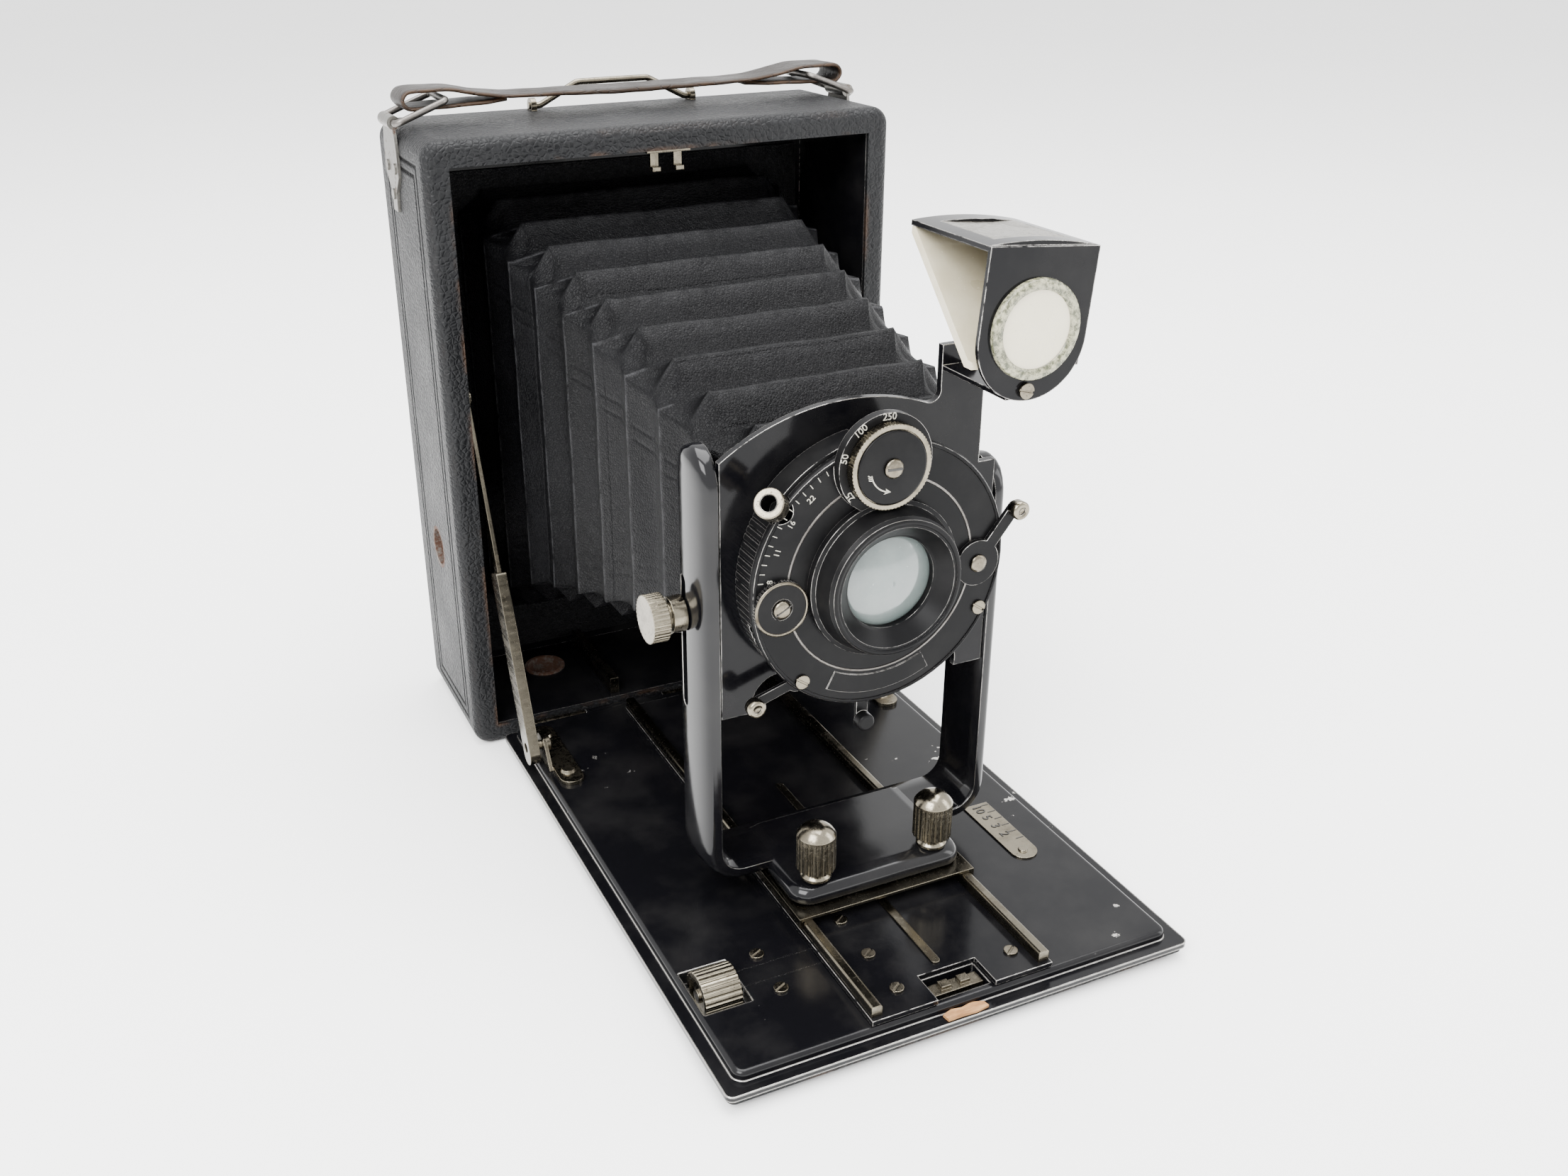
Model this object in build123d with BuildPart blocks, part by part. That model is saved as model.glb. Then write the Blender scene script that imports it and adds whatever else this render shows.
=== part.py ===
from build123d import *
import math
import os

# Folding plate camera, in millimetres. +X is the camera's right as seen from the front,
# +Y runs from the lens to the back, +Z is up. The origin is on the table, under the
# middle of the whole camera. ahead(d) is the Y of a plane that stands d in front of the
# body's front face, so a negative d is inside the body.

os.makedirs("parts", exist_ok=True)

# body
body_half = 59.5
body_height = 155.1
body_depth = 42.0
body_round = 4.5
front_round = 2.6
leather = 1.2
opening_half = 53.4
opening_top = 149.1
floor_top = 5.5
lid_lift = 4.9
lid_thick = 1.2
back_depth = body_depth + lid_lift + lid_thick
wall_gap = 0.3

# tripod bushes
bush_r = 5.6
bush_bore = 4.76
bush_long = 6.0
floor_bush_x = -32.0

# bed
bed_reach = 145.5
flange_half = 53.0
panel_half = 50.0
panel_reach = 142.5
bed_rear = 3.5
bed_low = 3.0
flange_top = 4.2
bed_top = 6.2
hinge_ahead = 1.9
hinge_z = 3.5
hinge_pin_r = 0.85
hinge_clear = 0.05
knuckle_r = 1.6

# track, rails and focusing drive
track_reach = 142.0
track_rear = 9.0
track_low = 6.5
track_top = 7.6
rail_outer = 20.5
rail_width = 2.4
rail_top = 10.1
wheel_x = -43.6
wheel_width = 8.0
wheel_ahead = 118.6
wheel_z = 5.2
wheel_r = 5.0
shaft_r = 0.6
tooth_module = 0.3
pinion_teeth = 12
tooth_root = 0.26
tooth_tip = 0.09
rack_x = -15.4

# front standard and lens board
arm_outer = 35.1
arm_inner = 31.1
arm_rear = 81.0
arm_front = 95.8
left_arm_top = 109.5
right_arm_top = 97.5
base_low = 10.85
base_top = 15.5
base_half = 20.5
base_front = 109.6
knob_x = 14.2
knob_ahead = 105.5
board_half = 30.9
board_front = 95.2
board_thick = 1.6
lens_z = 82.0
slot_ahead = 86.0
slot_half = 1.5
slot_low = 52.2
slot_high = 81.8
rise_z = 73.5

# shutter and lens
shutter_r = 28.2
face_ahead = 103.7
face_thick = 1.4
barrel_r = 16.4
barrel_front = 110.5
glass_r = 9.6
bore_r = 14.0

# finder
finder_x = 19.6
finder_z = 121.5
finder_ahead = 118.0
finder_half = 11.6
finder_up = 26.0
finder_down = 2.0
finder_lens_z = 11.3
finder_lens_r = 9.2
finder_lean = 5.0
finder_deep = 25.5

# struts
strut_low_ahead = 22.4
strut_low_z = 10.7
strut_top_ahead = -13.0
strut_top_z = 91.6
strut_wide = 6.0

# bellows
bellows_rear = -36.0
bellows_split = 4.0
bellows_front = 82.0
bellows_end = 93.0
bellows_wall = 4.0
bellows_rear_half_width = 46.0
bellows_rear_half_height = 59.6
bellows_rear_centre = 79.2
bellows_end_half_width = 27.3
bellows_end_half_height = 26.6
bellows_end_centre = 86.4
fold_count = 4

# handle
handle_ahead = -28.0
handle_half = 6.0
handle_low = 159.0
handle_thick = 2.3
eye_x = 59.8
eye_z = 156.5
ring_wire = 0.8
bracket_thick = 0.7

front_y = (bed_reach - back_depth) / 2


def ahead(distance):
    return front_y - distance


def facing(distance):
    """A front-facing plane that stands ahead of the body: local x is X, local y is Z."""
    return Plane.XZ.offset(-ahead(distance))


def side(x):
    """A plane across X: local x is Y, local y is Z."""
    return Plane.YZ.offset(x)


def level(z):
    """A horizontal plane: local x is X, local y is Y."""
    return Plane.XY.offset(z)


def save(piece, name):
    piece.part.label = name
    export_step(piece.part, "parts/" + name + ".step")


# ---------------------------------------------------------------- body


def make_body():
    with BuildPart() as box:
        with BuildSketch(facing(-leather)):
            with Locations((0, body_height / 2)):
                RectangleRounded(
                    2 * (body_half - leather), body_height - 2 * leather, body_round - leather
                )
        extrude(amount=-(body_depth - leather))
        with BuildSketch(facing(1)):
            with Locations((0, (opening_top + floor_top) / 2)):
                Rectangle(2 * opening_half, opening_top - floor_top)
        extrude(amount=-(body_depth + 5), mode=Mode.SUBTRACT)
        with Locations(Pos(floor_bush_x, ahead(-26), 0), Pos(-body_half, ahead(-22), 49.5) * Rot(0, 90, 0)):
            Cylinder(bush_r, 4 * floor_top, mode=Mode.SUBTRACT)
    save(box, "body_box")
    with BuildPart() as cover:
        with BuildSketch(facing(0)):
            with Locations((0, body_height / 2)):
                RectangleRounded(2 * body_half, body_height, body_round)
        extrude(amount=-body_depth)
        fillet(cover.faces().sort_by(Axis.Y)[0].edges(), front_round)
        with BuildSketch(facing(-leather)):
            with Locations((0, body_height / 2)):
                RectangleRounded(
                    2 * (body_half - leather), body_height - 2 * leather, body_round - leather
                )
        extrude(amount=-body_depth, mode=Mode.SUBTRACT)
        with BuildSketch(facing(1)):
            with Locations((0, (opening_top + floor_top) / 2)):
                Rectangle(2 * opening_half, opening_top - floor_top)
        extrude(amount=-(leather + 2), mode=Mode.SUBTRACT)
        with Locations(Pos(floor_bush_x, ahead(-26), 0), Pos(-body_half, ahead(-22), 49.5) * Rot(0, 90, 0)):
            Cylinder(bush_r, 4 * leather, mode=Mode.SUBTRACT)
    save(cover, "leather_cover")


def make_tripod_bushes():
    """One bush stands in the floor, the other in the left wall; both are open to the inside."""
    with BuildPart() as bushes:
        for mouth in (
            Plane(origin=(floor_bush_x, ahead(-26), 0), z_dir=(0, 0, 1)),
            Plane(origin=(-body_half, ahead(-22), 49.5), z_dir=(1, 0, 0)),
        ):
            with BuildSketch(mouth):
                Circle(bush_r)
                Circle(bush_bore, mode=Mode.SUBTRACT)
            extrude(amount=bush_long)
    save(bushes, "tripod_bushes")


def make_hinge():
    with BuildPart() as leaf:
        for centre in (-37, 0, 37):
            with BuildSketch(side(centre - 7)):
                with Locations((ahead(hinge_ahead), hinge_z)):
                    Circle(knuckle_r)
                with Locations((ahead(hinge_ahead / 2), hinge_z)):
                    Rectangle(hinge_ahead, 1.6)
            extrude(amount=14)
        with BuildSketch(side(-45)):
            with Locations((ahead(hinge_ahead), hinge_z)):
                Circle(hinge_pin_r)
        extrude(amount=90)
    save(leaf, "body_hinge")


def make_body_rails():
    with BuildPart() as rails:
        for mirror_side in (-1, 1):
            middle = mirror_side * (rail_outer - rail_width / 2)
            with Locations((middle, ahead(-19), (floor_top + rail_top) / 2)):
                Box(rail_width, 32, rail_top - floor_top)
    save(rails, "body_rails")


def make_catch_plate():
    with BuildPart() as catch:
        with Locations((0.4, ahead(-6), opening_top - 0.4)):
            Box(11, 8, 0.8)
        for x in (-2.6, 3.4):
            with BuildSketch(side(x - 1)):
                with BuildLine():
                    Polyline(
                        (ahead(-5), opening_top - 0.8),
                        (ahead(-5), opening_top - 5.2),
                        (ahead(-2.6), opening_top - 5.2),
                        (ahead(-2.6), opening_top - 4.2),
                        (ahead(-4), opening_top - 4.2),
                        (ahead(-4), opening_top - 0.8),
                        close=True,
                    )
                make_face()
            extrude(amount=2)
    save(catch, "catch_plate")


# ---------------------------------------------------------------- back


back_half = 52.0
back_high = 144.0
back_low = 9.0
view_half = 42.0
view_high = 134.0
view_low = 22.0
hood_pin_ahead = -47.35
hood_pin_z = 138.75
hood_barrel_long = 9.0
hood_barrel_r = 0.55
hood_tab_thick = 0.6
hood_tab_high = 1.75


def make_back():
    with BuildPart() as frame:
        with BuildSketch(facing(-37.5)):
            with Locations((0, (opening_top + floor_top) / 2)):
                Rectangle(2 * opening_half, opening_top - floor_top)
            with Locations((0, (view_high + view_low) / 2)):
                Rectangle(2 * view_half + 4, view_high - view_low + 4, mode=Mode.SUBTRACT)
        extrude(amount=-4.5)
    save(frame, "rear_frame")
    with BuildPart() as screen:
        with BuildSketch(facing(-body_depth)):
            with Locations((0, (back_high + back_low) / 2)):
                RectangleRounded(2 * back_half, back_high - back_low, 3)
            with Locations((0, (view_high + view_low) / 2)):
                Rectangle(2 * view_half, view_high - view_low, mode=Mode.SUBTRACT)
        extrude(amount=-4.6)
        with BuildSketch(facing(-body_depth)):
            with Locations((0, (view_high + view_low) / 2)):
                Rectangle(2 * view_half + 3, view_high - view_low + 3)
        extrude(amount=-2, mode=Mode.SUBTRACT)
    save(screen, "focusing_back")
    with BuildPart() as glass:
        with Locations((0, ahead(-body_depth - 1), (view_high + view_low) / 2)):
            Box(2 * view_half + 2.8, 2, view_high - view_low + 2.8)
    save(glass, "ground_glass")
    with BuildPart() as lid:
        with BuildSketch(facing(-body_depth - lid_lift)):
            with Locations((0, (view_high + view_low) / 2)):
                RectangleRounded(2 * view_half + 8, view_high - view_low + 8, 3)
        extrude(amount=-lid_thick)
        fillet(lid.faces().sort_by(Axis.Y)[-1].edges(), 0.4)
        # three hinge barrels along the top edge, each on its own short tab
        for x in (-30, 0, 30):
            with Locations((x, ahead(hood_pin_ahead), hood_pin_z - hood_tab_high / 2)):
                Box(hood_barrel_long, hood_tab_thick, hood_tab_high)
            with BuildSketch(side(x - hood_barrel_long / 2)):
                with Locations((ahead(hood_pin_ahead), hood_pin_z)):
                    Circle(hood_barrel_r)
            extrude(amount=hood_barrel_long)
    save(lid, "hood_lid")


bail_half = 19.5
bail_ahead = -38.0
bail_pivot_z = body_height + 1.1
bail_wire = 0.8


def make_back_bail():
    arch_top = 161.2
    with BuildPart() as bail:
        with BuildLine(Plane.XZ.offset(-ahead(bail_ahead))):
            FilletPolyline(
                (-bail_half - 3, bail_pivot_z),
                (-bail_half, bail_pivot_z),
                (-bail_half + 10, arch_top),
                (bail_half - 10, arch_top),
                (bail_half, bail_pivot_z),
                (bail_half + 3, bail_pivot_z),
                radius=3,
            )
        with BuildSketch(side(-bail_half - 3)):
            with Locations((ahead(bail_ahead), bail_pivot_z)):
                Circle(bail_wire)
        sweep()
    save(bail, "back_catch_bail")


def make_bail_eyes():
    with BuildPart() as eyes:
        for end in (-1, 1):
            with BuildSketch(side(end * (bail_half + 2) - 0.7)):
                with Locations((ahead(bail_ahead), bail_pivot_z)):
                    Circle(1.9)
                with Locations((ahead(bail_ahead), body_height - 0.2)):
                    Rectangle(3.8, 0.8)
                with Locations((ahead(bail_ahead), body_height - 1.4)):
                    Rectangle(6, 2.8, mode=Mode.SUBTRACT)
                with Locations((ahead(bail_ahead), bail_pivot_z)):
                    Circle(bail_wire + 0.06, mode=Mode.SUBTRACT)
            extrude(amount=1.4)
    save(eyes, "bail_eyes")


# ---------------------------------------------------------------- handle


def make_strap_bracket(name, hand):
    """A nickel plate on the body's side, pointed below and curled round the ring's bar above."""
    outer = hand * body_half
    middle = ahead(handle_ahead)
    top = eye_z - 0.6
    with BuildPart() as bracket:
        with BuildSketch(side(outer)):
            Polygon(
                (middle + 5.0, top),
                (middle + 6.2, body_height - 5),
                (middle + 6.2, body_height - 11),
                (middle + 2.4, body_height - 15),
                (middle + 2.0, body_height - 19.5),
                (middle - 2.0, body_height - 19.5),
                (middle - 2.4, body_height - 15),
                (middle - 6.2, body_height - 11),
                (middle - 6.2, body_height - 5),
                (middle - 5.0, top),
                align=None,
            )
        extrude(amount=hand * bracket_thick)
        with BuildSketch(facing(handle_ahead + 5.0)):
            with Locations((hand * eye_x, eye_z)):
                Circle(ring_wire + 0.76)
                Circle(ring_wire + 0.06, mode=Mode.SUBTRACT)
        extrude(amount=-10.0)
        with BuildSketch(facing(handle_ahead + 5.0)):
            with Locations((hand * eye_x, eye_z)):
                Circle(ring_wire + 0.06)
        extrude(amount=-10.0, mode=Mode.SUBTRACT)
        for y, z in ((3.6, 9.2), (-3.6, 9.2), (0, 15.5)):
            with BuildSketch(side(outer + hand * bracket_thick)):
                with Locations((middle + y, body_height - z)):
                    Circle(1.3)
            extrude(amount=hand * 0.4)
    save(bracket, name)


ring_tilt = 20.5
ring_long = 13.1
ring_half = 7.8


def make_strap_ring(name, hand):
    """A wire link, hinged in the bracket's eye, that leans inwards and carries the strap's loop."""
    reach = hand * ring_long * math.cos(math.radians(ring_tilt))
    rise = ring_long * math.sin(math.radians(ring_tilt))
    lay = Plane(
        origin=(hand * eye_x, ahead(handle_ahead), eye_z),
        x_dir=(-reach, 0, rise),
        z_dir=(hand * rise, 0, abs(reach)),
    )
    with BuildPart() as ring:
        with BuildLine(lay) as path:
            FilletPolyline(
                (0, ring_half),
                (ring_long, ring_half),
                (ring_long, -ring_half),
                (0, -ring_half),
                radius=1.6,
                close=True,
            )
        with BuildSketch(Plane(origin=path.line @ 0, z_dir=path.line % 0)):
            Circle(ring_wire)
        sweep()
    save(ring, name)


def make_hand_strap():
    """Leather folded back under itself at each end, so that a ring lies in each loop."""
    low = handle_low
    with BuildPart() as strap:
        with BuildSketch(facing(handle_ahead + handle_half)):
            with Locations((0, low + handle_thick / 2)):
                Rectangle(64, handle_thick)
            for hand in (-1, 1):
                with Locations((hand * 54.9, low + 2.1)):
                    Circle(2.6)
                Polygon(
                    (hand * 31, low),
                    (hand * 54.9, low - 0.5),
                    (hand * 54.9, low + 4.7),
                    (hand * 46, low + 4.6),
                    (hand * 38, low + 3.1),
                    (hand * 31, low + handle_thick),
                    align=None,
                )
                Polygon(
                    (hand * 41, low + 1.1),
                    (hand * 54.7, low + 0.7),
                    (hand * 55.7, low + 1.3),
                    (hand * 55.7, low + 2.9),
                    (hand * 54.7, low + 3.5),
                    (hand * 46, low + 3.4),
                    (hand * 41, low + 2.0),
                    align=None,
                    mode=Mode.SUBTRACT,
                )
        extrude(amount=-2 * handle_half)
    save(strap, "hand_strap")


# ---------------------------------------------------------------- bed


def bed_screw_spots():
    return [(-31.8, 113.3), (-31.8, 124.6)]


def make_bed():
    with BuildPart() as bed:
        with BuildSketch(level(bed_low)):
            with Locations((0, (ahead(bed_rear) + ahead(bed_reach)) / 2)):
                RectangleRounded(2 * flange_half, bed_reach - bed_rear, 1.6)
        extrude(amount=flange_top - bed_low)
        with BuildSketch(level(flange_top)):
            with Locations((0, (ahead(bed_rear + 0.6) + ahead(panel_reach)) / 2)):
                RectangleRounded(2 * panel_half, panel_reach - bed_rear - 0.6, 2.4)
        extrude(amount=bed_top - flange_top)
        fillet(bed.faces().sort_by(Axis.Z)[-1].edges(), 1.1)
        for start, end in ((-29.7, -7.3), (7.3, 29.7)):
            with BuildSketch(side(start)):
                with Locations((ahead(hinge_ahead), hinge_z)):
                    Circle(knuckle_r)
                with Locations((ahead((hinge_ahead + bed_rear) / 2 + 0.3), hinge_z + 0.1)):
                    Rectangle(bed_rear - hinge_ahead + 0.6, 1.2)
                with Locations((ahead(hinge_ahead), hinge_z)):
                    Circle(hinge_pin_r + hinge_clear, mode=Mode.SUBTRACT)
            extrude(amount=end - start)
        # window for the focusing wheel, and the tunnel and window for its shaft and pinion
        with Locations((wheel_x, ahead(wheel_ahead), bed_top)):
            Box(wheel_width + 2.4, 13.4, 20, mode=Mode.SUBTRACT)
        with Locations((-27, ahead(wheel_ahead), bed_low + 1.4)):
            Box(29, 4.8, 2.9, mode=Mode.SUBTRACT)
        with Locations((rack_x, ahead(wheel_ahead), bed_top)):
            Box(4.2, 4.8, 20, mode=Mode.SUBTRACT)
        # slot for the latch
        with Locations((0.6, ahead(137.4), bed_top)):
            Box(12.6, 6.4, 20, mode=Mode.SUBTRACT)
    save(bed, "bed_plate")
    with BuildPart() as underside:
        with BuildSketch(level(bed_low)):
            with Locations((0, (ahead(bed_rear + 2) + ahead(bed_reach - 0.6)) / 2)):
                RectangleRounded(2 * flange_half - 1.2, bed_reach - bed_rear - 2.6, 1.6)
            with Locations((wheel_x, ahead(wheel_ahead))):
                Rectangle(wheel_width + 2.4, 13.4, mode=Mode.SUBTRACT)
        extrude(amount=-leather)
    save(underside, "bed_leather")
    with BuildPart() as screws:
        for x, distance in bed_screw_spots():
            with BuildSketch(level(bed_top)):
                with Locations((x, ahead(distance))):
                    Circle(1.5)
            extrude(amount=0.5)
            with Locations((x, ahead(distance), bed_top + 0.5)):
                Box(3.2, 0.4, 0.5, rotation=(0, 0, 25), mode=Mode.SUBTRACT)
    save(screws, "bed_screws")


latch_ahead = 137.4


def make_bed_latch():
    with BuildPart() as latch:
        with Locations((0.6, ahead(latch_ahead), bed_low + 2.2)):
            Box(11.6, 3.2, 1.0)
        for x in (-1.6, 2.8):
            with Locations((x, ahead(latch_ahead - 0.4), bed_low + 2.9)):
                Box(2.2, 2.0, 1.0)
    save(latch, "bed_latch")


scale_x = 38.6
scale_half = 3.2
scale_near = 109.4
scale_far = 86.5


def make_distance_scale():
    with BuildPart() as plate:
        with BuildSketch(level(bed_top)):
            with Locations((scale_x, (ahead(scale_far) + ahead(scale_near - scale_half)) / 2)):
                Rectangle(2 * scale_half, scale_near - scale_half - scale_far)
            with Locations((scale_x, ahead(scale_near - scale_half))):
                Circle(scale_half)
        extrude(amount=0.4)
        with BuildSketch(level(bed_top + 0.4)):
            with Locations((scale_x, ahead(scale_near - scale_half))):
                Circle(1.1)
        extrude(amount=0.35)
    save(plate, "distance_scale")


def make_strut_bracket(name, hand):
    inner = hand * 47.6
    with BuildPart() as bracket:
        with BuildSketch(level(bed_top)):
            with Locations((hand * 44.6, (ahead(8) + ahead(37)) / 2)):
                RectangleRounded(6.0, 29, 2.9)
        extrude(amount=1.0)
        with BuildSketch(side(inner)):
            with BuildLine():
                Polyline(
                    (ahead(strut_low_ahead + 6.5), bed_top + 0.1),
                    (ahead(strut_low_ahead + 3.4), bed_top + 5),
                    (ahead(strut_low_ahead + 2), bed_top + 7),
                    (ahead(strut_low_ahead - 2), bed_top + 7),
                    (ahead(strut_low_ahead - 3.4), bed_top + 5),
                    (ahead(strut_low_ahead - 6.5), bed_top + 0.1),
                    close=True,
                )
            make_face()
        extrude(amount=hand * 0.9)
        with BuildSketch(side(inner - hand * 1.2)):
            with Locations((ahead(strut_low_ahead), strut_low_z)):
                Circle(1.9)
        extrude(amount=hand * 1.2)
        with BuildSketch(side(inner)):
            with Locations((ahead(strut_low_ahead), strut_low_z)):
                Circle(1.2)
        extrude(amount=hand * 3.6)
        for distance in (13, 31.5):
            with BuildSketch(level(bed_top + 1.0)):
                with Locations((hand * 44.6, ahead(distance))):
                    Circle(1.9)
            extrude(amount=0.7, taper=25)
    save(bracket, name)


# ---------------------------------------------------------------- struts


strut_run = math.hypot(strut_low_ahead - strut_top_ahead, strut_top_z - strut_low_z)
strut_back = (strut_low_ahead - strut_top_ahead) / strut_run
strut_rise = (strut_top_z - strut_low_z) / strut_run


def strut_plane(x):
    """Local x runs up the strut from its lower pivot, and z is +X."""
    return Plane(
        origin=(x, ahead(strut_low_ahead), strut_low_z),
        x_dir=(0, strut_back, strut_rise),
        z_dir=(1, 0, 0),
    )


channel_long = 46.0
channel_wall = 0.6
channel_deep = 2.6
blade_start = 30.0
blade_wide = 3.4


def make_strut(side_name, hand):
    web = hand * 52.4
    with BuildPart() as channel:
        with BuildSketch(strut_plane(web)):
            with Locations((channel_long / 2 - 1.5, 0)):
                Rectangle(channel_long, strut_wide)
            with Locations((-1.5, 0)):
                Circle(strut_wide / 2)
        extrude(amount=-hand * channel_deep)
        fillet(channel.edges().filter_by(Axis.X).sort_by(Axis.Z)[-2:], 0.8)
        with BuildSketch(strut_plane(web - hand * channel_wall)):
            with Locations((channel_long / 2 + 3, 0)):
                Rectangle(channel_long + 2, strut_wide - 2 * channel_wall)
        extrude(amount=-hand * channel_deep, mode=Mode.SUBTRACT)
        with BuildSketch(strut_plane(web + hand)):
            Circle(1.28)
        extrude(amount=-hand * 2 * channel_deep, mode=Mode.SUBTRACT)
    save(channel, "strut_channel_" + side_name)
    blade_low = web - hand * (channel_wall + 0.15)
    with BuildPart() as blade:
        with BuildSketch(strut_plane(blade_low)):
            with Locations(((blade_start + strut_run) / 2, 0)):
                Rectangle(strut_run - blade_start, blade_wide)
            with Locations((strut_run, 0)):
                Circle(3.0)
        extrude(amount=-hand * 1.0)
        with BuildSketch(strut_plane(blade_low - hand * 1.0)):
            with Locations((strut_run, 0)):
                Circle(1.8)
        extrude(amount=-hand * 0.6)
        with BuildSketch(strut_plane(blade_low)):
            with Locations((strut_run, 0)):
                Circle(1.2)
        extrude(amount=hand * 1.6)
    save(blade, "strut_blade_" + side_name)


# ---------------------------------------------------------------- track and focusing drive


pinion_r = tooth_module * pinion_teeth / 2
tooth_pitch = math.pi * tooth_module


def make_focus_drive():
    wheel_left = wheel_x - wheel_width / 2
    with BuildPart() as wheel:
        with BuildSketch(side(wheel_left)):
            with Locations((ahead(wheel_ahead), wheel_z)):
                Circle(wheel_r)
                with PolarLocations(wheel_r + 0.12, 26):
                    Circle(0.36, mode=Mode.SUBTRACT)
                Circle(shaft_r, mode=Mode.SUBTRACT)
        extrude(amount=wheel_width)
        with BuildSketch(side(wheel_left)):
            with Locations((ahead(wheel_ahead), wheel_z)):
                Circle(wheel_r - 1.2)
                Circle(shaft_r + 0.8, mode=Mode.SUBTRACT)
        extrude(amount=0.5, mode=Mode.SUBTRACT)
    save(wheel, "focus_wheel")
    with BuildPart() as shaft:
        with BuildSketch(side(wheel_left)):
            with Locations((ahead(wheel_ahead), wheel_z)):
                Circle(shaft_r)
        extrude(amount=rack_x + 2.0 - wheel_left)
        with BuildSketch(side(rack_x - 1.4)):
            with Locations((ahead(wheel_ahead), wheel_z)):
                Circle(pinion_r - 1.25 * tooth_module)
                with PolarLocations(pinion_r, pinion_teeth, start_angle=90):
                    Polygon(
                        (-2 * tooth_module, -1.3 * tooth_root),
                        (0.8 * tooth_module, -1.2 * tooth_tip),
                        (0.8 * tooth_module, 1.2 * tooth_tip),
                        (-2 * tooth_module, 1.3 * tooth_root),
                        align=None,
                    )
        extrude(amount=2.8)
    save(shaft, "focus_shaft")


rack_far = 98.0
rack_near = 124.0


def make_track():
    rack_line = wheel_z + pinion_r
    rack_half = 1.2
    teeth_low = rack_line + 1.15 * tooth_module
    near_teeth = int((rack_near - wheel_ahead) / tooth_pitch)
    far_teeth = int((wheel_ahead - rack_far) / tooth_pitch)
    with BuildPart() as plate:
        with BuildSketch(level(track_low)):
            with Locations((0, (ahead(track_rear) + ahead(track_reach)) / 2)):
                Rectangle(2 * rail_outer + 0.6, track_reach - track_rear)
            with Locations((0.6, ahead(140.4))):
                Rectangle(13.4, 12.4, mode=Mode.SUBTRACT)
        extrude(amount=track_top - track_low)
        # the rack is cut in a pocket under the plate; the pinion's top tooth points straight
        # up, so a gap of the rack is centred over it
        with BuildSketch(level(track_low)):
            with Locations((rack_x, (ahead(rack_far) + ahead(rack_near)) / 2)):
                Rectangle(2 * rack_half + 1.0, rack_near - rack_far)
        extrude(amount=teeth_low - track_low, mode=Mode.SUBTRACT)
        with BuildSketch(side(rack_x - rack_half)):
            for step in range(-near_teeth, far_teeth):
                with Locations((ahead(wheel_ahead) + (step + 0.5) * tooth_pitch, rack_line)):
                    Polygon(
                        (-tooth_root, 1.2 * tooth_module),
                        (-tooth_tip, -0.75 * tooth_module),
                        (tooth_tip, -0.75 * tooth_module),
                        (tooth_root, 1.2 * tooth_module),
                        align=None,
                    )
        extrude(amount=2 * rack_half)
    save(plate, "track_plate")
    with BuildPart() as rails:
        for hand in (-1, 1):
            middle = hand * (rail_outer - rail_width / 2)
            with Locations((middle, (ahead(track_rear) + ahead(track_reach - 1)) / 2,
                            (track_top + rail_top) / 2)):
                Box(rail_width, track_reach - track_rear - 1, rail_top - track_top)
        fillet(rails.edges().filter_by(Axis.Y).group_by(Axis.Z)[-1], 0.6)
    save(rails, "track_rails")
    with BuildPart() as strip:
        with BuildSketch(level(track_top)):
            with Locations((-0.5, (ahead(60) + ahead(132.6)) / 2)):
                RectangleRounded(1.9, 72.6, 0.9)
        extrude(amount=0.4)
    save(strip, "center_strip")
    with BuildPart() as screws:
        for x, distance in ((-11.8, 112.4), (-11.8, 124.3), (-11.8, 135.7), (15.0, 135.7)):
            with BuildSketch(level(track_top)):
                with Locations((x, ahead(distance))):
                    Circle(1.45)
            extrude(amount=0.5)
            with Locations((x, ahead(distance), track_top + 0.5)):
                Box(3.2, 0.4, 0.5, rotation=(0, 0, 35), mode=Mode.SUBTRACT)
    save(screws, "track_screws")


# ---------------------------------------------------------------- standard


def make_slider():
    with BuildPart() as slider:
        with BuildSketch(facing(112.2)):
            with Locations((0, (rail_top + 0.05 + base_low - 0.05) / 2)):
                Rectangle(2 * 21.3, base_low - rail_top - 0.1)
            for hand in (-1, 1):
                with Locations((hand * 20.95, (base_low - 0.05 + 8.5) / 2)):
                    Rectangle(0.7, base_low - 0.05 - 8.5)
        extrude(amount=-(112.2 - 79.0))
    save(slider, "slider_plate")


top_ease = 0.5


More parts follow.
